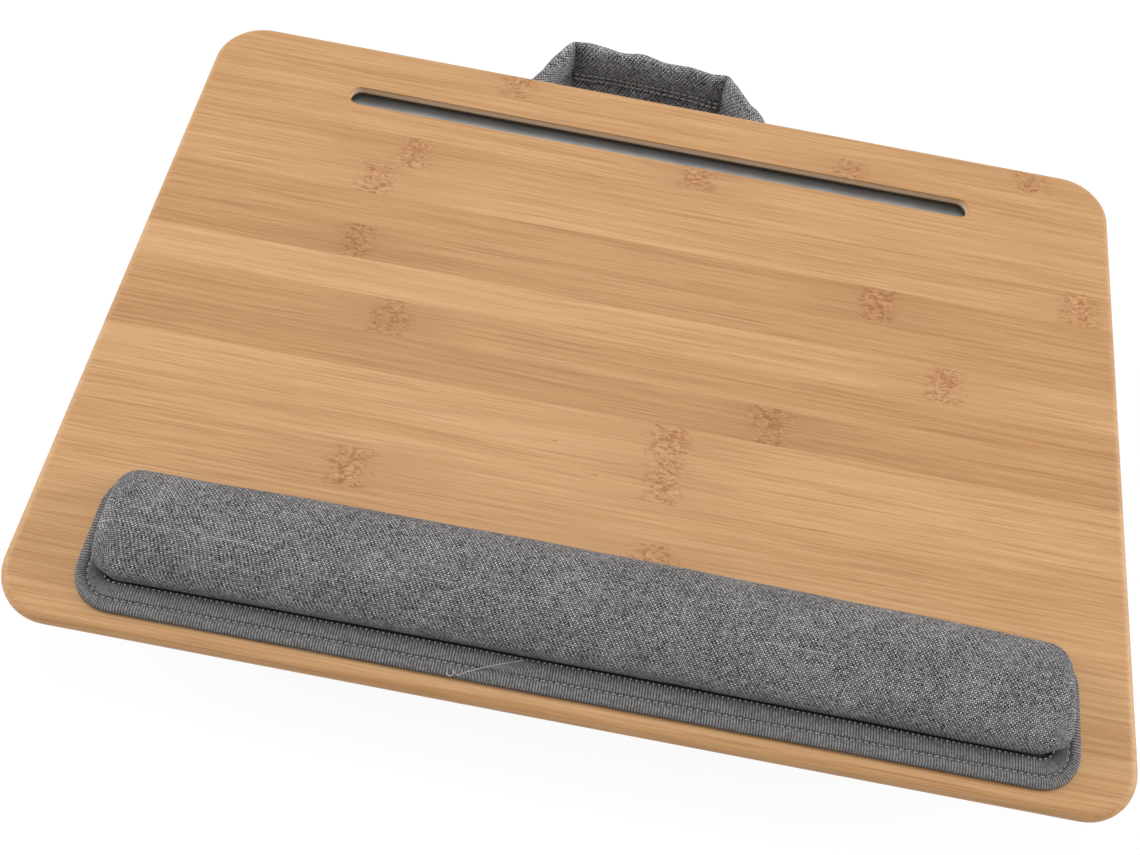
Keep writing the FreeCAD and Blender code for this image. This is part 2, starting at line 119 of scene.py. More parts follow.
class BoardSettings(bpy.types.PropertyGroup):
    light: tint("Light bamboo", "Colour of the pale fibres", (0.672, 0.400, 0.193))
    middle: tint("Bamboo", "Main colour of the staves", (0.585, 0.325, 0.143))
    dark: tint("Dark bamboo", "Colour of the dark fibres", (0.478, 0.240, 0.094))
    knuckle: tint("Knuckle", "Colour of the growth marks", (0.345, 0.135, 0.045))
    halo: tint("Halo", "Colour of the fibres beside a growth mark", (0.45, 0.215, 0.088))
    # Pale slot-wall colour: the cut bamboo's tone, made paler still as painted light.
    cut: tint("Cut wall", "Colour of the slot's walls", (0.90, 0.67, 0.46))
    knuckle_length: measure("Knuckle length", "Length of a growth mark", 0.0155)


class RestSettings(bpy.types.PropertyGroup):
    thread_pitch: measure("Thread pitch", "Spacing of the cover's threads", 0.00075)
    dark: tint("Dark thread", "Darkest threads of the cloth", (0.040, 0.038, 0.040))
    light: tint("Light thread", "Lightest threads of the cloth", (0.86, 0.83, 0.83))
    tape: tint("Tape", "Colour of the binding tape", (0.150, 0.146, 0.144))
    rib_pitch: measure("Rib pitch", "Spacing of the tape's ribs", 0.0010725)
    stitch: measure("Stitch", "Spacing of the stitches", 0.0026)
    puff: FloatProperty(name="Puff", description="Air pressure that fills the pad", default=4.0)
    puff_limit: measure("Puff limit", "How far the filling may push the cloth", 0.0012)


class CushionSettings(bpy.types.PropertyGroup):
    bottom: tint("Bottom cloth", "Colour of the bottom panel", (0.045, 0.046, 0.05))
    lining: tint("Lining", "Colour of the top panel", (0.39, 0.415, 0.43))
    puff: FloatProperty(name="Puff", description="Air pressure that fills the cushion", default=4.0)
    puff_limit: measure("Puff limit", "How far the filling may push the cloth", 0.0035)
    stitch: measure("Stitch", "Spacing of the seam stitches", 0.0036)


class LoopSettings(bpy.types.PropertyGroup):
    width: measure("Width", "Width of the strap", 0.034)
    thickness: measure("Thickness", "Thickness of the strap", 0.003)
    tab: measure("Sewn end", "Length sewn to the cushion", 0.030)
    stitch: measure("Stitch", "Spacing of the stitches", 0.0032)
    seed: IntProperty(name="Seed", description="Picks the strap's creases", default=4)


class StageSettings(bpy.types.PropertyGroup):
    place: FloatVectorProperty(
        name="Camera",
        description="Where the camera stands",
        subtype="XYZ",
        default=(-0.01393, -0.24224, 0.46471),
    )
    turn: FloatVectorProperty(
        name="Turn",
        description="How the camera is turned",
        subtype="EULER",
        default=(math.radians(26.494), math.radians(-4.543), math.radians(9.725)),
    )
    lens: FloatProperty(name="Lens", description="Focal length in millimetres", default=35.86)
    sky: FloatProperty(name="Sky", description="Strength of the even light", default=0.45)


# Node helpers


def add(tree, kind, links=None, **settings):
    """Adds a node. Links gives its inputs by name or number, each a socket to join or a value to set."""
    node = tree.nodes.new(kind)
    for name, value in settings.items():
        setattr(node, name, value)
    for key, value in (links or {}).items():
        join(tree, value, node.inputs[key])
    return node


def join(tree, value, socket):
    if isinstance(value, bpy.types.NodeSocket):
        tree.links.new(value, socket)
    else:
        socket.default_value = value


def calc(tree, operation, *values, clamp=False):
    node = add(tree, "ShaderNodeMath", dict(enumerate(values)), operation=operation, use_clamp=clamp)
    return node.outputs[0]


def times(tree, *factors, clamp=False):
    return calc(tree, "MULTIPLY", *factors, clamp=clamp)


def span(tree, value, low, high, to_low=0.0, to_high=1.0, smooth=True):
    """Maps a value from one range to another, held inside it."""
    kind = "SMOOTHSTEP" if smooth else "LINEAR"
    links = {"Value": value, "From Min": low, "From Max": high, "To Min": to_low, "To Max": to_high}
    return add(tree, "ShaderNodeMapRange", links, interpolation_type=kind).outputs[0]


def blend_colour(tree, amount, first, second, kind="MIX"):
    node = add(tree, "ShaderNodeMix", {0: amount}, data_type="RGBA", blend_type=kind)
    join(tree, opaque(first), node.inputs[6])
    join(tree, opaque(second), node.inputs[7])
    return node.outputs[2]


def blend_value(tree, amount, first, second):
    return add(tree, "ShaderNodeMix", {0: amount, 2: first, 3: second}, data_type="FLOAT").outputs[0]


def opaque(colour):
    if isinstance(colour, bpy.types.NodeSocket):
        return colour
    return (*colour[:3], 1.0)


def shaded(colour, factor):
    """A colour made darker or lighter by a factor."""
    return [min(1.0, c * factor) for c in colour]


def ramp(tree, value, stops):
    """A colour ramp through (place, colour) stops."""
    node = add(tree, "ShaderNodeValToRGB", {"Fac": value})
    elements = node.color_ramp.elements
    while len(elements) < len(stops):
        elements.new(0.5)
    for element, (place, colour) in zip(elements, stops):
        element.position = place
        element.color = opaque(colour)
    return node.outputs[0]


def stretched_noise(tree, vector, scale, detail=2.0, rough=0.5, distortion=0.0):
    mapping = add(tree, "ShaderNodeMapping", {"Vector": vector, "Scale": scale})
    links = {"Vector": mapping.outputs[0], "Scale": 1.0}
    links.update({"Detail": detail, "Roughness": rough, "Distortion": distortion})
    return add(tree, "ShaderNodeTexNoise", links).outputs["Fac"]


def swing(tree, vector, scale, reach, detail=2.0):
    """Noise that goes to both sides of zero."""
    return calc(tree, "MULTIPLY_ADD", stretched_noise(tree, vector, scale, detail), 2 * reach, -reach)


def thread_noise(tree, x, y, z=0.0):
    vector = add(tree, "ShaderNodeCombineXYZ", {0: x, 1: y, 2: z}).outputs[0]
    links = {"Vector": vector, "Scale": 1.0, "Detail": 1.0}
    return add(tree, "ShaderNodeTexNoise", links).outputs["Fac"]


def object_space(tree):
    return add(tree, "ShaderNodeTexCoord").outputs["Object"]


def split(tree, vector):
    return add(tree, "ShaderNodeSeparateXYZ", {0: vector}).outputs


def cloth_space(tree):
    """Cloth coordinates: along and across the threads."""
    return split(tree, add(tree, "ShaderNodeUVMap", uv_map="cloth").outputs[0])[:2]


# Reads the painted light and shade stored on the piece's points.
def painted_shading_value(tree):
    return add(tree, "ShaderNodeAttribute", attribute_name="painted_shading").outputs["Fac"]


def empty_tree(owner):
    owner.use_nodes = True
    owner.node_tree.nodes.clear()
    return owner.node_tree


def new_material(name, roughness, sheen=0.0, specular=0.5):
    material = bpy.data.materials.new(name)
    tree = empty_tree(material)
    looks = {"Roughness": roughness, "Sheen Weight": sheen, "Specular IOR Level": specular}
    shader = add(tree, "ShaderNodeBsdfPrincipled", looks)
    add(tree, "ShaderNodeOutputMaterial", {"Surface": shader.outputs[0]})
    return material, tree, shader


def set_surface(tree, shader, colour, height, distance, strength):
    """Gives a material its colour and its relief."""
    join(tree, colour, shader.inputs["Base Color"])
    bump = add(tree, "ShaderNodeBump", {"Height": height, "Distance": distance, "Strength": strength})
    join(tree, bump.outputs[0], shader.inputs["Normal"])


# Materials


def bamboo(settings, number):
    """One stave: long fine fibres, a tone of its own, and its growth marks."""
    tone = STAVE_TONES[number - 1]
    material, tree, shader = new_material("bamboo_%02d" % number, 0.5, specular=0.32)
    place = object_space(tree)
    x, y, z = split(tree, place)
    shift = Vector((0.731 * number, 0.137 * number, 0.0))
    own = add(tree, "ShaderNodeVectorMath", {0: place, 1: shift}, operation="ADD").outputs[0]

    near, halo = 0.0, 0.0
    half = settings.knuckle_length / 2
    ragged = swing(tree, own, (150, 300, 300), 0.006)
    for middle in KNUCKLES[number]:
        away = calc(tree, "ABSOLUTE", calc(tree, "SUBTRACT", x, middle))
        away = calc(tree, "ADD", away, ragged)
        spot = span(tree, away, half * 0.35, half * 1.5, 1.0, 0.0)
        wide = span(tree, away, half * 0.6, half * 6.5, 1.0, 0.0)
        near = calc(tree, "MAXIMUM", near, spot)
        halo = calc(tree, "MAXIMUM", halo, wide)

    curl = swing(tree, own, (170, 260, 260), 0.0026)
    sway = swing(tree, own, (14, 40, 40), 0.0008, detail=1.0)
    wander = calc(tree, "ADD", times(tree, curl, near), sway)
    bent = add(tree, "ShaderNodeCombineXYZ", {1: wander}).outputs[0]
    fibres = add(tree, "ShaderNodeVectorMath", {0: own, 1: bent}, operation="ADD").outputs[0]

    broad = stretched_noise(tree, fibres, (2.2, 105, 105), 2.0)
    middle = stretched_noise(tree, fibres, (9, 620, 620), 3.0, 0.6)
    fine = stretched_noise(tree, fibres, (26, 1700, 1700), 2.0, 0.6)
    grain = times(tree, broad, 0.20)
    grain = calc(tree, "MULTIPLY_ADD", middle, 0.38, grain)
    grain = calc(tree, "MULTIPLY_ADD", fine, 0.42, grain)
    colour = ramp(tree, grain, [(0.37, settings.dark), (0.50, settings.middle), (0.63, settings.light)])

    dash = stretched_noise(tree, fibres, (20, 1150, 1150), 2.0, 0.5)
    dash = span(tree, dash, 0.57, 0.68, 0.0, 0.42)
    colour = blend_colour(tree, dash, colour, shaded(settings.dark, 0.78))

    streaks = span(tree, middle, 0.42, 0.64, 0.15, 1.0)
    halo_amount = times(tree, times(tree, halo, streaks), 0.50)
    colour = blend_colour(tree, halo_amount, colour, settings.halo)
    # Knuckle wrinkles: painted shade in the hollows, in the knuckle's own dark colour, and painted highlight
    # on the crests.
    wrinkle = stretched_noise(tree, fibres, (330, 760, 760), 2.0, 0.6, 0.8)
    shaded_hollow = times(tree, near, span(tree, wrinkle, 0.50, 0.62, 0.0, 0.80))
    crest = times(tree, near, span(tree, wrinkle, 0.46, 0.34, 0.0, 0.55))
    colour = blend_colour(tree, times(tree, near, 0.15), colour, settings.knuckle)
    colour = blend_colour(tree, shaded_hollow, colour, settings.knuckle)
    # Painted highlight on the crests.
    colour = blend_colour(tree, crest, colour, (0.70, 0.39, 0.19))

    if number in FLAWS:
        flaw_x, flaw_y = FLAWS[number]
        along = calc(tree, "DIVIDE", calc(tree, "SUBTRACT", x, flaw_x), 0.0017)
        across = calc(tree, "DIVIDE", calc(tree, "SUBTRACT", y, flaw_y), 0.0005)
        across = times(tree, across, across)
        reach = calc(tree, "MULTIPLY_ADD", along, along, across)
        colour = blend_colour(tree, span(tree, reach, 0.2, 1.3, 0.55, 0.0), colour, settings.knuckle)

    if number in SLOT_STAVES:
        colour = cut_wall(tree, settings, x, y, z, colour)

    warm = (tone, tone**1.4, tone**1.9)
    colour = blend_colour(tree, 1.0, colour, warm, "MULTIPLY")
    join(tree, span(tree, fine, 0.35, 0.65, 0.44, 0.58), shader.inputs["Roughness"])
    relief = calc(tree, "SUBTRACT", times(tree, fine, 0.7), times(tree, shaded_hollow, 1.6))
    set_surface(tree, shader, colour, relief, 0.00007, 0.6)
    return material


def cut_wall(tree, settings, x, y, z, colour):
    """Pales the walls of the slot, partly for the paler cut bamboo and partly as painted light, and darkens
    them at their foot with painted shade.
    """
    inside = 1.0
    for axis, low, high in zip((x, y), *SLOT_BOX):
        away = calc(tree, "ABSOLUTE", calc(tree, "SUBTRACT", axis, (low + high) / 2))
        inside = times(tree, inside, calc(tree, "LESS_THAN", away, (high - low) / 2))
    deep = calc(tree, "SUBTRACT", BOARD_TOP, z)
    # Painted light, together with the cut bamboo's paler tone: the walls pale from just under the rim.
    cut_tone_and_painted_light = times(tree, inside, span(tree, deep, 0.0003, 0.0014, 0.0, 0.9))
    # Painted shade: near black at the foot of the walls.
    foot = times(tree, inside, span(tree, deep, 0.0030, 0.0041, 0.0, 0.94))
    colour = blend_colour(tree, cut_tone_and_painted_light, colour, settings.cut)
    return blend_colour(tree, foot, colour, (0.044, 0.028, 0.018))


def weave_axes(tree, pitch, skew=0.0):
    """The cloth's own two directions counted in threads: the count, its whole number and the rest."""
    along, across = cloth_space(tree)
    leaning = calc(tree, "MULTIPLY_ADD", across, -skew, along)
    found = []
    for output in (leaning, across):
        count = calc(tree, "DIVIDE", output, pitch)
        found.append((count, calc(tree, "FLOOR", count), calc(tree, "FRACT", count)))
    return found


def knuckle_height(tree, across, along):
    """Height of a thread where it lies on top of the other: round both ways."""
    first = calc(tree, "SINE", times(tree, across, math.pi))
    second = calc(tree, "SINE", times(tree, along, math.pi))
    first = calc(tree, "POWER", first, 0.8)
    return times(tree, first, calc(tree, "MULTIPLY_ADD", second, 0.75, 0.25))


def heather(name, dark, light, pitch, relief=0.00045, slubs=0.04):
    """Plain weave, pale one way and dark the other, each thread uneven along its length."""
    material, tree, shader = new_material(name, 0.92, 0.06, 0.2)
    (u, row_u, part_u), (v, row_v, part_v) = weave_axes(tree, pitch, skew=0.34)
    over = calc(tree, "FLOORED_MODULO", calc(tree, "ADD", row_u, row_v), 2.0)
    warp = thread_noise(tree, times(tree, row_u, 3.71), times(tree, v, 0.34))
    weft = thread_noise(tree, times(tree, u, 0.34), times(tree, row_v, 3.71), 7.3)
    warp = span(tree, warp, 0.28, 0.72, 0.30, 1.0, smooth=False)
    weft = span(tree, weft, 0.28, 0.72, 0.0, 0.58, smooth=False)
    tone = blend_value(tree, over, warp, weft)

    slub_v = slub(tree, row_v, times(tree, u, 0.030), slubs * 0.5)
    slub_u = slub(tree, row_u, times(tree, v, 0.150), slubs)
    lift = calc(tree, "MAXIMUM", slub_v, slub_u)
    tone = calc(tree, "MULTIPLY_ADD", lift, 0.17, tone, clamp=True)

    drift = stretched_noise(tree, object_space(tree), (60, 60, 60), 3.0)
    tone = calc(tree, "ADD", tone, span(tree, drift, 0.3, 0.7, -0.05, 0.05), clamp=True)
    third = [d + (l - d) * 0.36 for d, l in zip(dark, light)]
    colour = ramp(tree, tone, [(0.02, dark), (0.45, third), (1.0, light)])

    lying, standing = knuckle_height(tree, part_u, part_v), knuckle_height(tree, part_v, part_u)
    height = blend_value(tree, over, lying, standing)
    shade = span(tree, height, 0.12, 0.80, 0.10, 1.0)
    # Painted shading from the piece's points: painted shade darkens the cloth, and where below zero painted
    # light pales it.
    painted_shading_factor = calc(tree, "MULTIPLY_ADD", painted_shading_value(tree), -0.94, 1.0)
    shade = times(tree, shade, painted_shading_factor, clamp=True)
    grey = add(tree, "ShaderNodeCombineColor", {0: shade, 1: shade, 2: shade}).outputs[0]
    colour = blend_colour(tree, 1.0, colour, grey, "MULTIPLY")
    set_surface(tree, shader, colour, height, relief, 0.8)
    return material


def slub(tree, row, along, share):
    """Picks a few threads, and on each of them some stretches that are thicker and paler."""
    picked = add(tree, "ShaderNodeTexWhiteNoise", {"W": row}, noise_dimensions="1D").outputs["Value"]
    picked = calc(tree, "LESS_THAN", picked, share)
    stretch = thread_noise(tree, along, times(tree, row, 5.3), 2.7)
    return times(tree, picked, span(tree, stretch, 0.46, 0.56))


def ribbed_tape(settings):
    """Ribs that cross the tape, with a darker gap between each and the next."""
    material, tree, shader = new_material("ribbed_tape", 0.78, 0.05, 0.3)
    count, across = (calc(tree, "DIVIDE", way, settings.rib_pitch) for way in cloth_space(tree))
    row = calc(tree, "FLOOR", count)
    ridge = calc(tree, "SINE", times(tree, calc(tree, "FRACT", count), math.pi))
    yarn = thread_noise(tree, times(tree, row, 4.7), times(tree, across, 0.8))
    cross = calc(tree, "SINE", times(tree, across, 2.0 * math.pi))
    level = times(tree, calc(tree, "POWER", ridge, 1.5), 0.86)
    level = calc(tree, "ADD", level, span(tree, yarn, 0.3, 0.7, -0.14, 0.22))
    level = calc(tree, "MULTIPLY_ADD", cross, 0.02, level, clamp=True)
    tape = settings.tape
    colour = ramp(tree, level, [(0.0, shaded(tape, 0.34)), (0.5, tape), (1.0, shaded(tape, 2.0))])
    # Painted shade, near black, where the tape's stored shading asks for it.
    painted_shade = times(tree, painted_shading_value(tree), 0.85)
    colour = blend_colour(tree, painted_shade, colour, (0.010, 0.008, 0.007))
    height = calc(tree, "MULTIPLY_ADD", cross, 0.14, ridge)
    set_surface(tree, shader, colour, height, 0.00036, 0.8)
    return material


def fine_cloth(name, colour, pitch, painted_shade=None):
    """Close plain cloth on the piece's own coordinates; a painted shadow deepens on it from the first of two
    given Y values to the second.
    """
    material, tree, shader = new_material(name, 0.88, 0.05)
    place = object_space(tree)
    x, y, _ = split(tree, place)
    waves = [calc(tree, "SINE", times(tree, way, 2.0 * math.pi / pitch)) for way in (x, y)]
    knit = times(tree, *waves)
    patch = stretched_noise(tree, place, (60, 60, 60), 3.0)
    level = calc(tree, "MULTIPLY_ADD", knit, 0.18, span(tree, patch, 0.3, 0.7, 0.35, 0.65))
    finish = ramp(tree, level, [(0.1, shaded(colour, 0.6)), (0.5, colour), (0.9, shaded(colour, 1.3))])
    if painted_shade:
        # Painted shadow, dark brown, deepening between the two Y values.
        finish = blend_colour(tree, span(tree, y, *painted_shade, 0.0, 0.80), finish, (0.052, 0.044, 0.036))
    set_surface(tree, shader, finish, knit, 0.0001, 0.6)
    return material


def spun_thread(name, colour):
    """Twisted sewing thread."""
    material, tree, shader = new_material(name, 0.7, 0.1)
    twist = stretched_noise(tree, object_space(tree), (1400, 1400, 1400), 1.0)
    finish = ramp(tree, twist, [(0.3, shaded(colour, 0.7)), (0.7, colour)])
    set_surface(tree, shader, finish, twist, 0.00008, 0.7)
    return material


def film(name, colour):
    """Adhesive sheet with faint bubbles."""
    material, tree, shader = new_material(name, 0.35)
    spots = stretched_noise(tree, object_space(tree), (300, 300, 300))
    finish = ramp(tree, spots, [(0.35, shaded(colour, 0.85)), (0.65, colour)])
    set_surface(tree, shader, finish, spots, 0.00005, 0.4)
    return material


# Mesh helpers


def bell(away, width):
    """1 where away is nothing, falling to nothing past the width."""
    return math.exp(-((away / width) ** 2))


def arc(x, y, radius, start, stop, steps=6):
    angles = np.radians(np.linspace(start, stop, steps))
    return np.c_[x + radius * np.cos(angles), y + radius * np.sin(angles)]


def resample(line, count):
    """Even points along a line, its end left out."""
    steps = np.linalg.norm(np.diff(line, axis=0), axis=1)
    along = np.r_[0.0, np.cumsum(steps)]
    wanted = np.linspace(0.0, along[-1], count + 1)[:-1]
    return np.c_[[np.interp(wanted, along, line[:, axis]) for axis in range(line.shape[1])]].T


def rounded_ring(box, radius, bows, counts, front_radius=None):
    """A rounded box in plan, from the middle of its front right corner round to the left.
    Bows and counts are for the right, back, left and front sides."""
    x0, x1, y0, y1 = box
    front = radius if front_radius is None else front_radius
    corners = [
        (x1 - front, y0 + front, -90, front),
        (x1 - radius, y1 - radius, 0, radius),
        (x0 + radius, y1 - radius, 90, radius),
        (x0 + front, y0 + front, 180, front),
    ]
    outward = ((1, 0), (0, 1), (-1, 0), (0, -1))
    points = []
    for index in range(4):
        x, y, turn, size = corners[index]
        next_x, next_y, next_turn, next_size = corners[(index + 1) % 4]
        first = arc(x, y, size, turn + 45, turn + 90)
        last = arc(next_x, next_y, next_size, next_turn, next_turn + 45)
        share = np.linspace(0, 1, 41)[1:-1, None]
        middle = first[-1] * (1 - share) + last[0] * share
        middle = middle + np.array(outward[index]) * bows[index] * (1 - (2 * share - 1) ** 2)
        points.append(resample(np.vstack([first, middle, last]), counts[index]))
    return np.vstack(points)


def ring_normals(ring):
    """Outward directions at the points of a ring that runs to the left."""
    run = np.roll(ring, -1, axis=0) - np.roll(ring, 1, axis=0)
    run /= np.linalg.norm(run, axis=1)[:, None]
    return np.c_[run[:, 1], -run[:, 0]]


def ring_lengths(ring):
    """Distance along a ring at each of its points, and once round."""
    steps = np.linalg.norm(np.roll(ring, -1, axis=0) - ring, axis=1)
    return np.r_[0.0, np.cumsum(steps)]


def patch(ring, across, deep):
    """Points inside a ring, laid out as a grid between its four sides."""
    right = ring[: deep + 1][:, None]
    back = ring[deep : deep + across + 1][::-1]
    left = ring[deep + across : 2 * deep + across + 1][::-1][:, None]
    front = np.vstack([ring[2 * deep + across :], ring[:1]])
    s = (np.arange(across + 1) / across)[None, :, None]
    t = (np.arange(deep + 1) / deep)[:, None, None]
    sides = (1 - t) * front + t * back + (1 - s) * left + s * right
    ends = (1 - s) * ((1 - t) * left[0] + t * left[-1]) + s * ((1 - t) * right[0] + t * right[-1])
    return sides - ends


class MeshDraft:
    """Gathers points, faces, cloth coordinates and material numbers for one mesh."""

    def __init__(self):
        self.points = []
        self.faces = []
        self.coords = []
        self.finish = []

    def add_points(self, points):
        start = len(self.points)
        self.points.extend(tuple(p) for p in points)
        return start

    def add_face(self, corners, coords, finish=0):
        self.faces.append(corners)
        self.coords.append(coords)
        self.finish.append(finish)

    def build(self, name, materials):
        mesh = bpy.data.meshes.new(name)
        mesh.from_pydata(self.points, [], self.faces)
        layer = mesh.uv_layers.new(name="cloth")
        flat = np.array([value for face in self.coords for pair in face for value in pair], np.float32)
        layer.data.foreach_set("uv", flat)
        mesh.polygons.foreach_set("material_index", np.array(self.finish, np.int32))
        mesh.polygons.foreach_set("use_smooth", np.full(len(self.faces), True))
        for material in materials:
            mesh.materials.append(material)
        mesh.update()
        turn_outward(mesh)
        return new_object(name, mesh)

    def heights(self):
        """How high each point stands over the board."""
        return np.array([point[2] for point in self.points]) - BOARD_TOP


def new_object(name, data):
    made = bpy.data.objects.new(name, data)
    bpy.context.scene.collection.objects.link(made)
    return made


def set_painted_shading(piece, values):
    """Stores at each point the painted shading of the cloth's material: painted shade darkens it, and where
    below zero painted light pales it.
    """
    painted_shading = piece.data.attributes.new("painted_shading", "FLOAT", "POINT")
    painted_shading.data.foreach_set("value", np.asarray(values, np.float32))


def turn_outward(mesh):
    work = bmesh.new()
    work.from_mesh(mesh)
    bmesh.ops.recalc_face_normals(work, faces=work.faces)
    work.to_mesh(mesh)
    work.free()


def add_wall(draft, rings, coords, finishes):
    """Faces between rings that follow each other; coords has one more column than a ring has points."""
    starts = [draft.add_points(ring) for ring in rings]
    count = len(rings[0])
    for level in range(len(rings) - 1):
        low, high = starts[level], starts[level + 1]
        for i in range(count):
            j = (i + 1) % count
            places = (*coords[level][i : i + 2], *coords[level + 1][i : i + 2][::-1])
            draft.add_face((low + i, low + j, high + j, high + i), places, finishes[level])
    return starts


def add_cap(draft, ring, start, across, deep, upward, finish, shape=None):
    """Closes a ring with a grid of faces; shape may lift the points inside it."""
    grid = patch(np.asarray(ring), across, deep)
    if shape:
        grid = shape(grid)
    inner = grid[1:deep, 1:across].reshape(-1, 3)
    numbers = np.zeros((deep + 1, across + 1), int)
    first = draft.add_points(inner)
    numbers[1:deep, 1:across] = first + np.arange(len(inner)).reshape(deep - 1, across - 1)
    numbers[:, across] = start + np.arange(deep + 1)
    numbers[deep] = start + deep + np.arange(across, -1, -1)
    numbers[:, 0] = start + deep + across + np.arange(deep, -1, -1)
    numbers[0] = start + (2 * deep + across + np.arange(across + 1)) % len(ring)
    for row in range(deep):
        for column in range(across):
            spots = [(row, column), (row, column + 1), (row + 1, column + 1), (row + 1, column)]
            if not upward:
                spots.reverse()
            corners = tuple(int(numbers[spot]) for spot in spots)
            places = tuple(tuple(grid[spot][:2]) for spot in spots)
            draft.add_face(corners, places, finish)


# Length of the simulation that fills a piece, and how many times its motion is evened out
FILLING_FRAMES = 20
EVENING_ROUNDS = 10


def ripple(x, y, z=0.0):
    return noise.noise(Vector((x, y, z)))


def filled(piece, held, pressure, limit):
    """Fills a closed piece with air as cloth. The points in held stay, the others keep within their limit."""
    group = piece.vertex_groups.new(name="held")
    group.add([int(i) for i in held], 1.0, "REPLACE")
    cloth = piece.modifiers.new("Filling", "CLOTH")
    settings = cloth.settings
    settings.quality = 5
    settings.mass = 0.15
    settings.vertex_group_mass = "held"
    settings.use_pressure = True
    settings.uniform_pressure_force = pressure
    settings.tension_stiffness = 12.0
    settings.compression_stiffness = 12.0
    settings.bending_stiffness = 0.3
    settings.effector_weights.gravity = 0.0
    cloth.collision_settings.use_collision = False
    cloth.point_cache.frame_start = 1
    cloth.point_cache.frame_end = FILLING_FRAMES
    scene = bpy.context.scene
    for number in range(1, FILLING_FRAMES + 1):
        scene.frame_set(number)
    depsgraph = bpy.context.evaluated_depsgraph_get()
    result = piece.evaluated_get(depsgraph)
    before = np.array([v.co for v in piece.data.vertices])
    after = np.array([v.co for v in result.data.vertices])
    moved = after - before
    reach = np.linalg.norm(moved, axis=1)
    keep = np.minimum(1.0, limit / np.maximum(reach, 1e-9))
    moved = evened(piece.data, moved * keep[:, None], held)
    piece.modifiers.remove(cloth)
    piece.vertex_groups.remove(group)
    piece.data.vertices.foreach_set("co", (before + moved).astype(np.float32).ravel())
    piece.data.update()
    scene.frame_set(1)


def evened(mesh, moved, held):
    """Evens out the small wrinkles of a simulated motion; held points stay where they are."""
    edges = np.empty(len(mesh.edges) * 2, np.int32)
    mesh.edges.foreach_get("vertices", edges)
    edges = edges.reshape(-1, 2)
    ends, others = edges.ravel(), edges[:, ::-1].ravel()
    neighbours = np.bincount(ends, minlength=len(moved))[:, None]
    still = np.array(held)
    for _ in range(EVENING_ROUNDS):
        sums = [np.bincount(ends, moved[others, axis], len(moved)) for axis in range(3)]
        moved = np.stack(sums, axis=1) / neighbours
        moved[still] = 0.0
    return moved


def smoothed(piece):
    modifier = piece.modifiers.new("Smooth", "SUBSURF")
    modifier.levels = modifier.render_levels = 1


# How far a stitch may lean out of its row, in radians
STITCH_LEAN = 0.06


def stitch_tree(name, material, bead=False):
    """Geometry nodes that lay stitches, or round beads, end to end along a line."""
    tree = bpy.data.node_groups.new(name, "GeometryNodeTree")
    sockets = tree.interface
    sockets.new_socket("Geometry", in_out="INPUT", socket_type="NodeSocketGeometry")
    for title, value in (("Spacing", 0.003), ("Length", 0.002), ("Thickness", 0.0005)):
        socket = sockets.new_socket(title, in_out="INPUT", socket_type="NodeSocketFloat")
        socket.default_value = value
    sockets.new_socket("Geometry", in_out="OUTPUT", socket_type="NodeSocketGeometry")
    line, spacing, length, thickness = add(tree, "NodeGroupInput").outputs[:4]
    curve = add(tree, "GeometryNodeMeshToCurve", {"Mesh": line})
    links = {"Curve": curve.outputs[0], "Length": spacing}
    even = add(tree, "GeometryNodeResampleCurve", links, mode="LENGTH")
    sphere = add(tree, "GeometryNodeMeshUVSphere", {"Segments": 6 if bead else 8, "Rings": 4, "Radius": 0.5})
    smooth = add(tree, "GeometryNodeSetShadeSmooth", {0: sphere.outputs[0]})
    size = add(tree, "ShaderNodeCombineXYZ", {0: length, 1: thickness, 2: thickness})
    scaled = add(tree, "GeometryNodeTransform", {"Geometry": smooth.outputs[0], "Scale": size.outputs[0]})
    tangent = add(tree, "GeometryNodeInputTangent")
    turned = add(tree, "FunctionNodeAlignRotationToVector", {"Vector": tangent.outputs[0]}, axis="X")
    links = {0: (-STITCH_LEAN,) * 3, 1: (STITCH_LEAN,) * 3, "Seed": 3}
    wobble = add(tree, "FunctionNodeRandomValue", links, data_type="FLOAT_VECTOR")
    as_turn = add(tree, "FunctionNodeEulerToRotation", {0: wobble.outputs[0]})
    loose = add(tree, "FunctionNodeRotateRotation", {0: turned.outputs[0], 1: as_turn.outputs[0]})
    links = {"Points": even.outputs[0], "Instance": scaled.outputs[0], "Rotation": loose.outputs[0]}
    laid = add(tree, "GeometryNodeInstanceOnPoints", links)
    real = add(tree, "GeometryNodeRealizeInstances", {0: laid.outputs[0]})
    links = {"Geometry": real.outputs[0], "Material": material}
    finished = add(tree, "GeometryNodeSetMaterial", links)
    add(tree, "NodeGroupOutput", {0: finished.outputs[0]})
    return tree


def stitches(name, lines, tree, spacing, length, thickness):
    """One piece made of the stitches along each line of points; a closed line repeats its first point."""
    points, edges = [], []
    for line in lines:
        start = len(points)
        points.extend(tuple(p) for p in line)
        edges.extend((i, i + 1) for i in range(start, len(points) - 1))
    mesh = bpy.data.meshes.new(name)
    mesh.from_pydata(points, edges, [])
    piece = new_object(name, mesh)
    modifier = piece.modifiers.new("Stitches", "NODES")
    modifier.node_group = tree
    sizes = {"Spacing": spacing, "Length": length, "Thickness": thickness}
    for item in tree.interface.items_tree:
        if item.in_out == "INPUT" and item.name in sizes:
            modifier[item.identifier] = sizes[item.name]
    depsgraph = bpy.context.evaluated_depsgraph_get()
    result = bpy.data.meshes.new_from_object(piece.evaluated_get(depsgraph))
    piece.modifiers.remove(modifier)
    piece.data = result
    return piece


def finish_piece(piece, body, nodes):
    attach(piece, body)
    if nodes:
        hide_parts(*nodes)


# Pieces


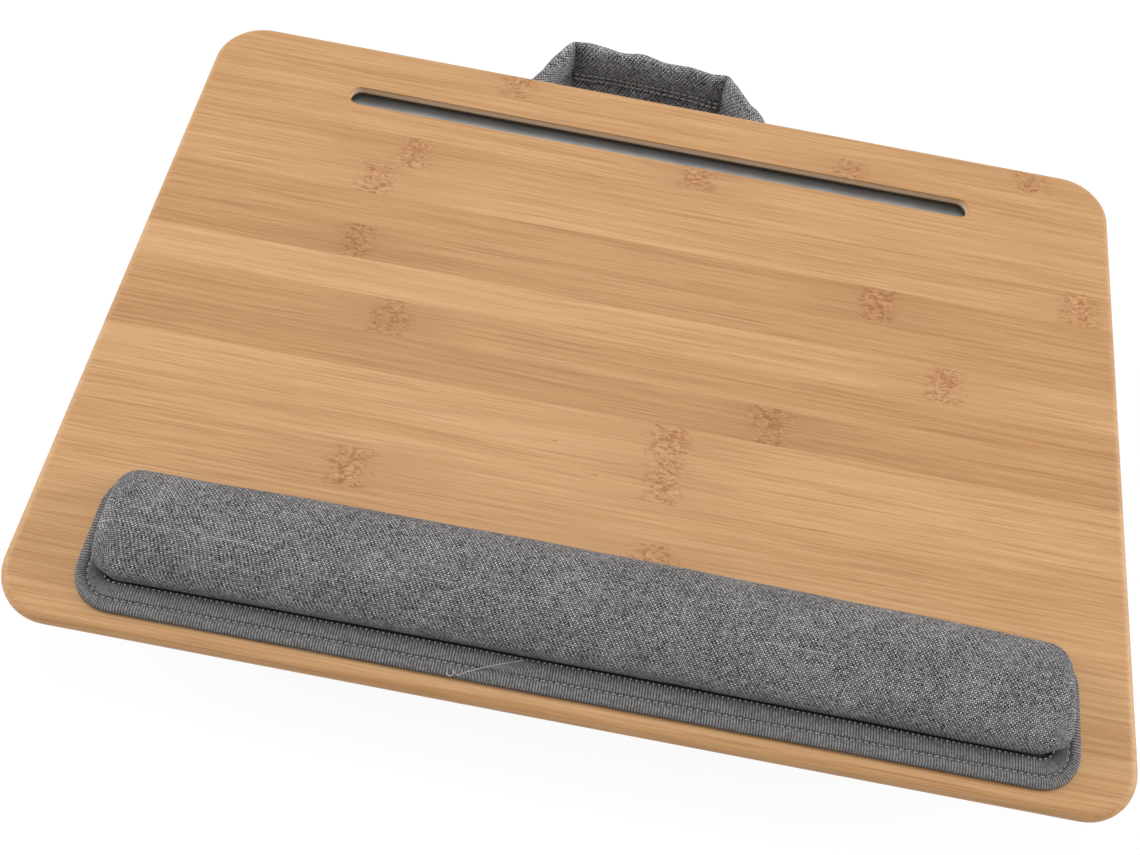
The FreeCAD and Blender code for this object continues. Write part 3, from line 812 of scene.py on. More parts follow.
def rest_plan(inset, front=0.0, back=0.0, ends=0.0):
    """Plan box of the wrist rest, drawn in from its outer edge and let out again on each side."""
    low, high = REST_BOX
    return low.x + inset - ends, high.x - inset + ends, low.y + inset - front, high.y - inset + back


# Corner radius of the wrist rest, and how far the crease between tape and pad is from its edge
REST_CORNER = 0.0165
CREASE = 0.0114
PAD_RINGS = 15
PAD_ACROSS = 230
PAD_DEEP = 26
# Height of the pad's belly over the board, and how far it bulges out at the back and at the ends
PAD_BELLY = 0.0086
PAD_BACK = 0.0088
PAD_ENDS = 0.0045
# How far the upper part of the pad is drawn in, and how much of a quarter turn it covers
PAD_RUN = 0.0214
PAD_TURN = 0.80
# How far the pad's front side is drawn in at its middle
PAD_FRONT_BOW = 0.0007
# Rings at the pad's foot that the filling leaves where they are
PAD_HELD = 4
# Lower part of the pad's section, from its sewn foot up: height over the board, inset from the crease and
# share of the bulge
PAD_FOOT = (
    (0.0017, 0.0031, 0.0),
    (0.0021, 0.0022, 0.0),
    (0.0027, 0.0013, 0.0),
    (0.0034, 0.0006, 0.12),
    (0.0043, 0.0001, 0.45),
    (0.0056, 0.0, 0.80),
    (0.0070, 0.0, 0.96),
)


def pad_levels():
    """Plan box, back and front corner radius, height and bow share of each ring, from the foot up."""
    belly_z = BOARD_TOP + PAD_BELLY
    top = PAD_BOX[1].z - 0.0004
    radius = REST_CORNER - CREASE
    levels = []
    for height, inset, share in PAD_FOOT:
        plan = rest_plan(CREASE + inset, 0.0, PAD_BACK * share, PAD_ENDS * share)
        corner = max(0.0026, radius - inset)
        levels.append((plan, corner + 0.0036 * share, corner + 0.0053 * share, BOARD_TOP + height, share))
    for step in range(PAD_RINGS):
        angle = math.pi / 2 * PAD_TURN * step / (PAD_RINGS - 1)
        drawn = PAD_RUN * (1 - math.cos(angle) ** 0.9)
        plan = rest_plan(CREASE, -drawn, PAD_BACK - drawn, PAD_ENDS - drawn * 0.42)
        z = belly_z + (top - belly_z) * math.sin(angle) ** 0.9
        corner = max(0.0016, 0.0088 - drawn * 0.34)
        front_corner = max(0.0020, 0.0105 - drawn * 0.42)
        levels.append((plan, corner, front_corner, z, max(0.0, math.cos(angle)) ** 0.5))
    return levels


def build_pad(settings, cloth):
    """The padded cover, drawn in at its foot and sewn down all round."""
    counts = (PAD_DEEP, PAD_ACROSS, PAD_DEEP, PAD_ACROSS)
    rings = []
    for level, (plan, radius, front_radius, z, share) in enumerate(pad_levels()):
        bows = (0.0008 * share, 0.0029 * share, 0.0008 * share, -PAD_FRONT_BOW)
        flat = rounded_ring(plan, radius, bows, counts, front_radius)
        rings.append(soften_pad(np.c_[flat, np.full(len(flat), z)], level))
    draft = MeshDraft()
    starts = add_wall(draft, rings, unfolded(rings), [0] * (len(rings) - 1))
    add_cap(draft, rings[0], starts[0], PAD_ACROSS, PAD_DEEP, False, 0)
    add_cap(draft, rings[-1], starts[-1], PAD_ACROSS, PAD_DEEP, True, 0, shape=crown)
    pad = draft.build("wrist_rest_pad", [cloth])
    heights = draft.heights()
    # Painted shade: the cover darkens towards its foot, in the crease along the tape.
    set_painted_shading(pad, np.interp(heights, (0.0030, 0.0040, 0.0060, 0.0100), (1.0, 0.42, 0.20, 0.0)))
    reach = settings.puff_limit * np.clip((heights - 0.0045) / 0.0060, 0, 1)
    from_front = np.array([point[1] for point in draft.points]) - REST_BOX[0].y - CREASE
    reach *= np.interp(from_front, (0.0, 0.010), (0.3, 1.0))
    filled(pad, range(starts[PAD_HELD]), settings.puff, reach)
    smoothed(pad)
    finish_piece(pad, BASE, ["wrist_rest_cover", "wrist_rest_foam"])


def soften_pad(ring, level):
    """Gathers and small dents: strong at the foot, and at the corners where the cover is folded in."""
    low, high = REST_BOX
    out = ring_normals(ring[:, :2])
    deep = math.exp(-level / 4.0)
    result = ring.copy()
    folds = (
        ((low.x + CREASE, low.y + CREASE), (1, -1), 0.0006),
        ((high.x - CREASE, low.y + CREASE), (1, 1), 0.0024),
    )
    for i, (x, y, z) in enumerate(ring):
        corner = bell(min(x - low.x, high.x - x) - 0.012, 0.012)
        gather = ripple(x * 260, y * 260, 1.7) * 0.00050 * deep * (0.35 + 1.6 * corner)
        dent = ripple(x * 28, y * 40, z * 60) * 0.00030
        fold = 0.0
        for (fold_x, fold_y), turn, depth in folds:
            beside = ((x - fold_x) * turn[0] + (y - fold_y) * turn[1]) * 0.707
            near = math.exp(-((x - fold_x) ** 2 + (y - fold_y) ** 2) / 0.013**2)
            fold += depth * near * bell(beside, 0.0026) * bell(level - 4, 3.6)
        result[i, :2] += out[i] * (gather + dent - fold)
        if level > 4:
            result[i, 2] += ripple(x * 24 + 5, y * 45, 0.4) * 0.00035
    return result


def crown(grid):
    """Lifts the pad's top a little towards its middle line, and less towards its ends."""
    rows, columns = grid.shape[:2]
    deep = 1 - np.linspace(-1, 1, rows) ** 2
    from_end = np.minimum(np.arange(columns), np.arange(columns)[::-1])
    along = np.sin(np.clip(from_end / 9, 0, 1) * math.pi / 2)
    grid[:, :, 2] += 0.0005 * np.outer(deep, along)
    return grid


def unfolded(rings):
    """Cloth coordinates of rings laid out flat round the last of them."""
    top = rings[-1][:, :2]
    out = ring_normals(top)
    lengths = np.zeros(len(top))
    coords = [None] * len(rings)
    for level in range(len(rings) - 1, -1, -1):
        if level < len(rings) - 1:
            lengths = lengths + np.linalg.norm(rings[level + 1] - rings[level], axis=1)
        flat = top + out * lengths[:, None]
        coords[level] = [tuple(p) for p in flat] + [tuple(flat[0])]
    return coords


# The tape's section, from under the flange round its fold to its upper inner edge: inset and height
TAPE_SECTION = (
    (0.0050, 0.00005),
    (0.0022, 0.00005),
    (0.0006, 0.00015),
    (0.0001, 0.0007),
    (0.0001, 0.0015),
    (0.0005, 0.0024),
    (0.0013, 0.0029),
    (0.0024, 0.0031),
    (0.0038, 0.0030),
    (0.0043, 0.0026),
    (0.0046, 0.0018),
    (0.0050, 0.0018),
    (0.0052, 0.0027),
    (0.0056, 0.0032),
    (0.0066, 0.0031),
    (0.0080, 0.0032),
    (0.0095, 0.0031),
    (0.0106, 0.0029),
    (0.0112, 0.0024),
    (0.0113, 0.0020),
    (0.0108, 0.00178),
)


def front_drift(x, y):
    """How far the tape's inner edge stands further in along the middle of the front."""
    low, high = REST_BOX
    if y > low.y + REST_CORNER:
        return 0.0
    share = (2 * x - low.x - high.x) / (high.x - low.x - 2 * CREASE)
    return PAD_FRONT_BOW * max(0.0, 1 - share * share)


def build_tape(tape):
    """The binding tape folded round the flange's edge, with the groove of its thread line."""
    base = rounded_ring(rest_plan(0.0), REST_CORNER, (0, 0, 0, 0), (56, 320, 56, 320))
    count = len(base)
    lengths = ring_lengths(base)
    out = ring_normals(base)
    rings, coords, run, last = [], [], 0.0, TAPE_SECTION[0]
    for inset, height in TAPE_SECTION:
        ring = base - out * inset
        z = np.full(count, BOARD_TOP + height)
        for i, (x, y) in enumerate(ring):
            wave = ripple(x * 55, y * 55, inset * 400)
            if height > 0.0012:
                pull = ripple(x * 420, y * 420, 3.1)
                z[i] += wave * 0.00012 + pull * 0.00010 * bell(inset - 0.0050, 0.0012)
            ring[i] += out[i] * (wave * 0.00012 - front_drift(x, y) * inset / CREASE)
        run += math.hypot(inset - last[0], height - last[1])
        last = (inset, height)
        rings.append(np.c_[ring, z])
        coords.append([(length, run) for length in lengths])
    draft = MeshDraft()
    starts = add_wall(draft, rings, coords, [0] * len(rings))
    low, high = starts[-1], starts[0]
    for i in range(count):
        j = (i + 1) % count
        here, there, end = lengths[i], lengths[i + 1], run + 0.006
        places = ((here, run), (there, run), (there, end), (here, end))
        draft.add_face((low + i, low + j, high + j, high + i), places)
    piece = draft.build("wrist_rest_tape", [tape])
    # Painted shade: the tape darkens on its underside at the board, and on its inner part beside the pad,
    # most at the rest's two ends.
    under = np.interp(draft.heights(), (0.0011, 0.0021), (1.0, 0.0))
    insets = np.repeat([inset for inset, _ in TAPE_SECTION], count)
    beside = np.interp(insets, (0.0030, 0.0100), (0.0, 0.75))
    beside = beside * np.tile(np.abs(out[:, 0]), len(TAPE_SECTION)) ** 2
    set_painted_shading(piece, np.maximum(under, beside))
    smoothed(piece)
    finish_piece(piece, BASE, ["wrist_rest_binding"])


# How far the tape's lapped end reaches along the tape and across it, and the curl at its cord's foot
LAP_LENGTH = 0.0130
LAP_DEPTH = 0.0107
LAP_CURL = 0.0012


def lap_edge(t):
    """X of the slanted end of the tape, from the tape's outer edge at t = 0 to its inner one."""
    return -0.0405 + 0.0235 * t**1.25


def lap_place(s, t):
    """Cloth coordinates on the lap: its ribs lean at the slanted end and stand upright further on."""
    x = lap_edge(t) + LAP_LENGTH * s
    return x + 0.0050 * t * (1 - s) ** 2, LAP_DEPTH * t


def build_tape_end(tape):
    """The tape's end, cut on a slant, folded under and lapped over its start."""
    front = REST_BOX[0].y
    columns, rows = 16, 22
    draft = MeshDraft()
    numbers = {}
    for side in (0, 1):
        for row in range(rows + 1):
            t = row / rows
            inset = 0.0003 + LAP_DEPTH * t
            base = np.interp(inset, *zip(*TAPE_SECTION[4:18]))
            for column in range(columns + 1):
                s = column / columns
                rolled = 1 - (1 - min(1.0, s / 0.07)) ** 2
                lift = 0.00048 * rolled * (1 - s) - 0.00006 * s if side else -0.0002
                point = (lap_edge(t) + LAP_LENGTH * s, front + inset, BOARD_TOP + base + lift)
                numbers[side, row, column] = draft.add_points([point])
    for side in (0, 1):
        for row in range(rows):
            for column in range(columns):
                spots = [(row, column), (row, column + 1), (row + 1, column + 1), (row + 1, column)]
                corners = tuple(numbers[(side, *spot)] for spot in spots)
                places = tuple(lap_place(c / columns, r / rows) for r, c in spots)
                draft.add_face(corners if side else corners[::-1], places)
    border = [(0, c) for c in range(columns)] + [(r, columns) for r in range(rows)]
    border += [(rows, c) for c in range(columns, 0, -1)] + [(r, 0) for r in range(rows, 0, -1)]
    for spot, after in zip(border, border[1:] + border[:1]):
        ends = ((0, *spot), (0, *after), (1, *after), (1, *spot))
        corners = tuple(numbers[end] for end in ends)
        draft.add_face(corners, ((0, 0), (0.0007, 0), (0.0007, 0.0004), (0, 0.0004)))
    piece = draft.build("wrist_rest_tape_end", [tape])
    smoothed(piece)
    finish_piece(piece, BASE, ["wrist_rest_binding_end"])


def lap_line():
    """The cord of the tape's rolled end: a small curl at its foot, then up along the slant."""
    front = REST_BOX[0].y
    line = []
    for angle in np.radians(np.linspace(60, -200, 16)):
        y = front + 0.0014 + LAP_CURL * math.sin(angle)
        line.append((-0.0424 + LAP_CURL * math.cos(angle), y, BOARD_TOP + 0.0033))
    line.reverse()
    for t in np.linspace(0.06, 0.98, 26):
        z = BOARD_TOP + 0.0035 - 0.0009 * max(0.0, 0.2 - t) / 0.2
        line.append((lap_edge(t) + 0.0003, front + 0.0003 + LAP_DEPTH * t, z))
    return line


def ring_line(inset, height):
    """A closed line round the wrist rest."""
    radius = max(REST_CORNER - inset, 0.0048)
    ring = rounded_ring(rest_plan(inset), radius, (0, 0, 0, 0), (40, 240, 40, 240))
    out = ring_normals(ring)
    for i, (x, y) in enumerate(ring):
        ring[i] -= out[i] * front_drift(x, y) * inset / CREASE
    line = np.c_[ring, np.full(len(ring), BOARD_TOP + height)]
    return np.vstack([line, line[:1]])


def build_rest_stitches(settings, thread, edging):
    tree = stitch_tree("stitch_row", thread)
    line = ring_line(0.0048, 0.0021)
    row = stitches("wrist_rest_stitches", [line], tree, settings.stitch, 0.0021, 0.00055)
    finish_piece(row, BASE, ["wrist_rest_stitching"])
    beads = stitch_tree("tape_beads", edging, bead=True)
    line, pitch = ring_line(0.0108, 0.0031), settings.rib_pitch * 2
    edge = stitches("wrist_rest_edge_stitches", [line], beads, pitch, 0.0010, 0.00062)
    finish_piece(edge, BASE, [])
    cord = stitches("wrist_rest_lap_cord", [lap_line()], tree, 0.0007, 0.0011, 0.00055)
    finish_piece(cord, BASE, [])


# Grid of the cushion's panels, and the heights of the rings of its side
CUSHION_ACROSS = 104
CUSHION_DEEP = 74
CUSHION_HEIGHTS = (
    *(0.0006, 0.002, 0.004, 0.006, 0.0071, 0.008, 0.0089, 0.0105, 0.013, 0.016),
    *(0.0195, 0.0235, 0.0275, 0.0315, 0.035, 0.038, 0.0405, 0.0425, 0.0436, 0.0444),
)


def cushion_inset(z):
    """How far the cushion's side is drawn in from its belly at a height."""
    if z >= CUSHION_BELLY:
        return 0.004 * ((z - CUSHION_BELLY) / (CUSHION_TOP - CUSHION_BELLY)) ** 2
    share = (CUSHION_BELLY - z) / (CUSHION_BELLY + 0.0005)
    return 0.020 * (1 - math.sqrt(1 - share * share))


def seam_dip(z):
    """Extra draw-in where the side is sewn."""
    dip = 0.0
    for seam, depth in ((CUSHION_BOTTOM_SEAM, 0.0011), (CUSHION_TOP_SEAM, 0.0009)):
        dip += depth * bell(z - seam, 0.0011)
    return dip


def cushion_ring(inset, counts):
    half_x, half_y = (half - inset for half in CUSHION_HALF)
    radius = max(0.004, CUSHION_CORNER - inset)
    return rounded_ring((-half_x, half_x, -half_y, half_y), radius, (CUSHION_BOW,) * 4, counts)


def build_cushion(settings, band, bottom, lining):
    """The stuffed cushion: side band, bottom panel and top panel sewn together."""
    counts = (CUSHION_DEEP, CUSHION_ACROSS, CUSHION_DEEP, CUSHION_ACROSS)
    seams = (CUSHION_BOTTOM_SEAM, CUSHION_TOP_SEAM)
    levels = [(0.0, cushion_inset(0.0) + 0.004), (0.0, cushion_inset(0.0) + 0.0012)]
    seam, upper = (len(levels) + CUSHION_HEIGHTS.index(z) for z in seams)
    levels += [(z, cushion_inset(z) + seam_dip(z)) for z in CUSHION_HEIGHTS]
    levels += [(0.0449, 0.0046), (CUSHION_TOP, 0.0062)]
    lengths = ring_lengths(cushion_ring(0.0, counts))
    rings, coords, run, last = [], [], 0.0, levels[0]
    for z, inset in levels:
        flat = cushion_ring(inset, counts)
        out = ring_normals(flat)
        ring = np.c_[flat, np.full(len(flat), z)]
        if 0.0 < z < 0.0445:
            gather = sum(math.exp(-abs(z - height) / 0.004) for height in seams)
            for i, (x, y, _) in enumerate(ring):
                pull = ripple(x * 150, y * 150, z * 35) * 0.0011 * gather
                slack = ripple(x * 22, y * 22, z * 45 + 9) * 0.0011
                ring[i, :2] += out[i] * (pull + slack - 0.0006)
        run += math.hypot(z - last[0], inset - last[1])
        last = (z, inset)
        rings.append(ring)
        coords.append([(length, run) for length in lengths])
    finishes = [1] * seam + [0] * (upper - seam) + [2] * (len(levels) - 1 - upper)
    draft = MeshDraft()
    starts = add_wall(draft, rings, coords, finishes)
    add_cap(draft, rings[0], starts[0], CUSHION_ACROSS, CUSHION_DEEP, False, 1)
    add_cap(draft, rings[-1], starts[-1], CUSHION_ACROSS, CUSHION_DEEP, True, 2, shape=slack_top)
    piece = draft.build("cushion_body", [band, bottom, lining])
    count = len(rings[0])
    held = set(range(starts[2]))
    held |= set(range(starts[seam], starts[seam] + count))
    held |= set(range(starts[upper], len(draft.points)))
    filled(piece, sorted(held), settings.puff, settings.puff_limit)
    smoothed(piece)
    nodes = ["cushion_side_band", "cushion_bottom_panel", "cushion_filling", "cushion_lining"]
    finish_piece(piece, BASE, nodes)


def slack_top(grid):
    """Small dips in the top panel, which the filling does not press flat."""
    rows, columns = grid.shape[:2]
    for row in range(1, rows - 1):
        for column in range(1, columns - 1):
            x, y, _ = grid[row, column]
            grid[row, column, 2] -= 0.0002 + abs(ripple(x * 30, y * 30, 0.2)) * 0.0005
    return grid


def cushion_line(z):
    """A closed line round the cushion, in the groove of a seam."""
    ring = cushion_ring(cushion_inset(z) + 0.0007, (70, 110, 70, 110))
    line = np.c_[ring, np.full(len(ring), z)]
    return np.vstack([line, line[:1]])


def build_cushion_stitches(settings, thread):
    tree = stitch_tree("seam_row", thread)
    for name, z, node in (
        ("cushion_bottom_stitches", CUSHION_BOTTOM_SEAM, "cushion_bottom_seam"),
        ("cushion_top_stitches", CUSHION_TOP_SEAM, "cushion_top_seam"),
    ):
        row = stitches(name, [cushion_line(z)], tree, settings.stitch, 0.0028, 0.0007)
        finish_piece(row, BASE, [node])


# Plan of the strap: where its sewn ends stop, the two bends, and how far each leg bows out between them
STRAP_ROOTS = (-0.0757, 0.0571)
STRAP_APEX = ((-0.0503, 0.1822), (0.0282, 0.1788))
STRAP_BOWS = (0.0010, 0.0021)
STRAP_MIDDLE_Z = 0.028
# Radius of each corner of the plan line, and the length of one step along it
STRAP_RADII = (0.010, 0.09, 0.0010, 0.0012, 0.07, 0.008)
STRAP_STEP = 0.0012
# Y where the strap leaves the cushion, and how far on it is quite free of it
STRAP_FREE_Y = 0.1365
STRAP_FREE_RUN = 0.010
# The thread rows, from the middle of the strap's width
STRAP_ROWS = (-0.0030, 0.0)


def cushion_back(x):
    """Y of the cushion's back side at its belly."""
    straight = CUSHION_HALF[0] - CUSHION_CORNER
    return CUSHION_HALF[1] + CUSHION_BOW * (1 - (x / straight) ** 2)


def rounded_path(corners, radii):
    """A line through corners, each rounded by its radius."""
    corners = [np.array(c) for c in corners]
    line = [corners[0]]
    for before, corner, after, radius in zip(corners, corners[1:], corners[2:], radii):
        back = (before - corner) / np.linalg.norm(before - corner)
        ahead = (after - corner) / np.linalg.norm(after - corner)
        half = math.acos(float(np.clip(back @ ahead, -1, 1))) / 2
        cut = radius / math.tan(half)
        start, stop = corner + back * cut, corner + ahead * cut
        for share in np.linspace(0, 1, 9):
            line.append((1 - share) ** 2 * start + 2 * share * (1 - share) * corner + share**2 * stop)
    line.append(corners[-1])
    return np.array(line)


def leg_middle(root, apex, bow):
    """The point half way up a leg, bowed out by its share."""
    middle = (np.array(root) + np.array(apex)) / 2
    run = np.array(apex) - np.array(root)
    run /= np.linalg.norm(run)
    side = np.array((run[1], -run[0])) * (1 if root[0] > apex[0] else -1)
    return middle + side * bow


def strap_line(settings):
    """Even points along the middle of the strap, and the distance along it."""
    off = settings.thickness / 2 + 0.0004
    left, right = STRAP_ROOTS
    roots = [(left, cushion_back(left) + off), (right, cushion_back(right) + off)]
    corners = [
        (left - settings.tab, cushion_back(left - settings.tab) + off),
        roots[0],
        leg_middle(roots[0], STRAP_APEX[0], STRAP_BOWS[0]),
        STRAP_APEX[0],
        STRAP_APEX[1],
        leg_middle(roots[1], STRAP_APEX[1], STRAP_BOWS[1]),
        roots[1],
        (right + settings.tab, cushion_back(right + settings.tab) + off),
    ]
    line = rounded_path(corners, STRAP_RADII)
    total = np.linalg.norm(np.diff(line, axis=0), axis=1).sum()
    count = int(total / STRAP_STEP)
    even = np.vstack([resample(line, count), line[-1:]])
    return even, np.linspace(0.0, total, count + 1)


def strap_section(settings):
    """Points round the strap's section: up its outer face and down its inner one."""
    half = settings.width / 2
    thick = settings.thickness / 2
    rise = np.linspace(-half + 0.0014, half - 0.0014, 31)
    outer = [(w, thick * (0.92 + 0.08 * math.cos(w / half * math.pi / 2))) for w in rise]
    top = [(half - 0.0004, thick * 0.75), (half, 0.0), (half - 0.0004, -thick * 0.75)]
    inner = [(w, -t) for w, t in reversed(outer)]
    bottom = [(-half + 0.0004, -thick * 0.75), (-half, 0.0), (-half + 0.0004, thick * 0.75)]
    return outer + top + inner + bottom


def arch(value, start, stop):
    """Half a wave from one value to another, nothing outside them."""
    return math.sin(min(1.0, max(0.0, (value - start) / (stop - start))) * math.pi)


def build_strap(settings, cloth):
    """The padded carry strap in one length, from sewn end to sewn end."""
    line, along = strap_line(settings)
    run = np.gradient(line, axis=0)
    run /= np.linalg.norm(run, axis=1)[:, None]
    out = np.c_[-run[:, 1], run[:, 0]]
    section = strap_section(settings)
    half = settings.width / 2
    steps = np.linalg.norm(np.diff(np.array(section + section[:1]), axis=0), axis=1)
    around = np.r_[0.0, np.cumsum(steps)]
    rings = []
    for place, side, s in zip(line, out, along):
        free = np.clip((place[1] - STRAP_FREE_Y) / STRAP_FREE_RUN, 0, 1)
        free = free * free * (3 - 2 * free)
        away = [(place[0] - x) ** 2 + (place[1] - y) ** 2 for x, y in STRAP_APEX]
        bend = sum(math.exp(-(square / 0.005**2)) for square in away)
        crest = ripple(s * 62, 3.3, settings.seed) * 0.0026
        crest += ripple(s * 150, 8.1, settings.seed) * 0.0007
        ring = []
        for w, t in section:
            face = 1 if t > 0 else -1
            rise = w / half
            groove = sum(bell(w - row + row_drop(place[0]), 0.0010) for row in STRAP_ROWS)
            plump = arch(w, STRAP_ROWS[1], half) * 0.0021 + arch(w, STRAP_ROWS[0], -half) * 0.0017
            puck = ripple(s * 210, w * 55, settings.seed) * 0.00034
            swell = ripple(s * 75, w * 60, settings.seed + 5.0) * 0.00055
            depth = t + face * free * ((plump + puck + swell) * (1 - 0.5 * bend) - groove * 0.0015)
            height = w + crest * free * max(0.0, rise) ** 2 * (1 - bend)
            lean = ripple(s * 33, 1.1, settings.seed + 2.0) * 0.0013 * max(0.0, rise) * free
            z = STRAP_MIDDLE_Z + height
            drawn = cushion_inset(float(np.clip(z, 0.001, CUSHION_TOP))) * (1 - free)
            point = place + side * (depth + lean)
            ring.append((point[0], point[1] - drawn, z))
        rings.append(np.array(ring))
    coords = [[(s, a) for a in around] for s in along]
    draft = MeshDraft()
    starts = add_wall(draft, rings, coords, [0] * len(rings))
    close_end(draft, starts[0], len(section), True)
    close_end(draft, starts[-1], len(section), False)
    piece = draft.build("carry_strap", [cloth])
    # Painted light and shade on the inner face, for the cloth's material.
    set_painted_shading(piece, [strap_painted_shading(place, w, t) for place in line for w, t in section])
    smoothed(piece)
    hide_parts("handle_strap", "handle_core", "handle_tab_left", "handle_tab_right")
    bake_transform(piece)


def row_drop(x):
    """How far the thread rows sag at the two bends."""
    (left, _), (right, _) = STRAP_APEX
    return 0.0023 * bell(x - left, 0.018) + 0.0015 * bell(x - right, 0.014)


def strap_painted_shading(place, w, t):
    """Painted shading of the strap's inner face: painted shade darkens the cloth by the rows and in the
    bends, and painted light pales it where below zero.
    """
    if t > 0:
        return 0.0
    (left, _), (right, _) = STRAP_APEX
    on_leg = float(np.clip(max(left - place[0], place[0] - right) / 0.0008, 0, 1))
    height = w + row_drop(place[0])
    # Painted shade along the thread rows.
    row = max(bell(height - middle, 0.0008) for middle in (-0.0045, -0.0015, 0.0015))
    # Painted light pales the inner face, most on its lower roll.
    low = float(np.interp(w, (-0.0075, -0.0050, 0.0030, 0.0060), (-1.30, -0.95, -0.85, -0.70)))
    flat = low + (0.45 - low) * row * 0.9
    # Painted shade in the two bends.
    near = bell(place[0] - left, 0.0060) + bell(place[0] - right, 0.0060)
    flat += (0.50 - flat) * min(1.0, near) * 0.8
    # Painted light on the legs' inner faces, stronger on the left leg.
    leg = -1.30 if place[0] < 0 else -0.50
    return flat + (leg - flat) * on_leg


def close_end(draft, start, count, first):
    """Closes one end of the strap with strips from its outer face to its inner one."""
    half = count // 2
    for i in range(half - 1):
        corners = [start + i, start + i + 1, start + (count - 5 - i) % count, start + (count - 4 - i) % count]
        if len(set(corners)) < 4:
            continue
        places = [(0.0, 0.0), (0.0, 0.001), (0.003, 0.001), (0.003, 0.0)]
        draft.add_face(tuple(corners if first else corners[::-1]), tuple(places))


def build_loop_stitches(settings, thread):
    """Two thread rows along the loop's inner face, and a square of thread on each sewn end."""
    tree = stitch_tree("strap_row", thread)
    left, right = (np.array(p) for p in STRAP_APEX)
    run = (right - left) / np.linalg.norm(right - left)
    inward = np.array((run[1], -run[0])) * (settings.thickness / 2 + 0.0002)
    rows = []
    for rise in STRAP_ROWS:
        start = left + run * 0.003 + inward
        stop = right - run * 0.003 + inward
        line = [start * (1 - t) + stop * t for t in np.linspace(0, 1, 24)]
        rows.append([(x, y, STRAP_MIDDLE_Z + rise - row_drop(x)) for x, y in line])
    piece = stitches("carry_loop_stitches", rows, tree, settings.stitch, 0.0031, 0.00075)
    finish_piece(piece, LOOP, ["handle_stitching"])
    squares = []
    for root, sign in zip(STRAP_ROOTS, (-1, 1)):
        near, far = root + sign * 0.009, root + sign * (settings.tab - 0.004)
        low, high = STRAP_MIDDLE_Z - 0.0125, STRAP_MIDDLE_Z + 0.0125
        corners = [(near, low), (far, low), (far, high), (near, high), (near, low)]
        cross = [(near, low), (far, high)]
        for path in (corners, cross):
            squares.append(on_strap(path, settings.thickness + 0.0005))
    piece = stitches("sewn_end_stitches", squares, tree, settings.stitch, 0.0024, 0.0006)
    finish_piece(piece, BASE, ["handle_tab_stitching"])


def on_strap(path, off):
    """Lays a path of X and Z on the outer face of a sewn end."""
    line = []
    for (x0, z0), (x1, z1) in zip(path, path[1:]):
        for t in np.linspace(0, 1, 12):
            x, z = x0 + (x1 - x0) * t, z0 + (z1 - z0) * t
            line.append((x, cushion_back(x) + off - cushion_inset(z), z))
    return line


# Operators


class LAPDESK_OT_board(bpy.types.Operator):
    """Finish the bamboo staves of the board"""

    bl_idname = "lapdesk.board"
    bl_label = "Board"

    def execute(self, context):
        settings = context.scene.lap_desk_board
        for number in range(1, len(STAVE_TONES) + 1):
            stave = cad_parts["bamboo_stave_%02d" % number]
            dress(stave, bamboo(settings, number))
        return {"FINISHED"}


def dress(node, material):
    """Gives a CAD node one material all over."""
    node.data.materials.clear()
    node.data.materials.append(material)


class LAPDESK_OT_wrist_rest(bpy.types.Operator):
    """Make the padded wrist rest with its binding tape and stitches"""

    bl_idname = "lapdesk.wrist_rest"
    bl_label = "Wrist rest"

    def execute(self, context):
        settings = context.scene.lap_desk_rest
        cloth = heather("heather_cloth", settings.dark, settings.light, settings.thread_pitch)
        tape = ribbed_tape(settings)
        thread = spun_thread("tape_thread", (0.46, 0.45, 0.44))
        build_pad(settings, cloth)
        build_tape(tape)
        build_tape_end(tape)
        build_rest_stitches(settings, thread, spun_thread("edge_thread", (0.66, 0.65, 0.63)))
        dress(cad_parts["wrist_rest_base"], fine_cloth("base_cloth", (0.03, 0.03, 0.032), 0.0011))
        dress(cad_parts["wrist_rest_adhesive"], film("adhesive_film", (0.62, 0.60, 0.52)))
        return {"FINISHED"}


class LAPDESK_OT_cushion(bpy.types.Operator):
    """Make the stuffed cushion with its seams and the pads that hold the board"""

    bl_idname = "lapdesk.cushion"
    bl_label = "Cushion"

    def execute(self, context):
        settings = context.scene.lap_desk_cushion
        rest = context.scene.lap_desk_rest
        band = heather("cushion_cloth", rest.dark, rest.light, rest.thread_pitch)
        dark = shaded(settings.bottom, 0.3)
        bottom = heather("bottom_cloth", dark, settings.bottom, 0.0008, slubs=0.0)
        # The lining gets a painted shadow under the slot, deepening towards its back wall.
        lining = fine_cloth("lining_cloth", settings.lining, 0.0012, painted_shade=(0.1165, 0.1215))
        build_cushion(settings, band, bottom, lining)
        build_cushion_stitches(settings, spun_thread("seam_thread", (0.16, 0.16, 0.165)))
        dress(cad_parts["cushion_mounting_pads"], film("pad_film", (0.55, 0.54, 0.50)))
        return {"FINISHED"}


class LAPDESK_OT_carry_loop(bpy.types.Operator):
    """Make the padded carry strap with its stitches"""

    bl_idname = "lapdesk.carry_loop"
    bl_label = "Carry loop"

    def execute(self, context):
        settings = context.scene.lap_desk_loop
        rest = context.scene.lap_desk_rest
        # The strap's cloth is the rest's cloth made 1.2 times paler, as painted light.
        dark, light = shaded(rest.dark, 1.2), shaded(rest.light, 1.2)
        build_strap(settings, heather("strap_cloth", dark, light, 0.00098, 0.0006))
        build_loop_stitches(settings, spun_thread("strap_thread", (0.90, 0.87, 0.86)))
        return {"FINISHED"}


class LAPDESK_OT_stage(bpy.types.Operator):
    """Set the pale floor, the soft light and the camera"""

    bl_idname = "lapdesk.stage"
    bl_label = "Stage"

    def execute(self, context):
        settings = context.scene.lap_desk_stage
        make_floor()
        make_sky(settings)
        make_lamps()
        make_camera(settings)
        context.scene.view_settings.view_transform = "Standard"
        return {"FINISHED"}


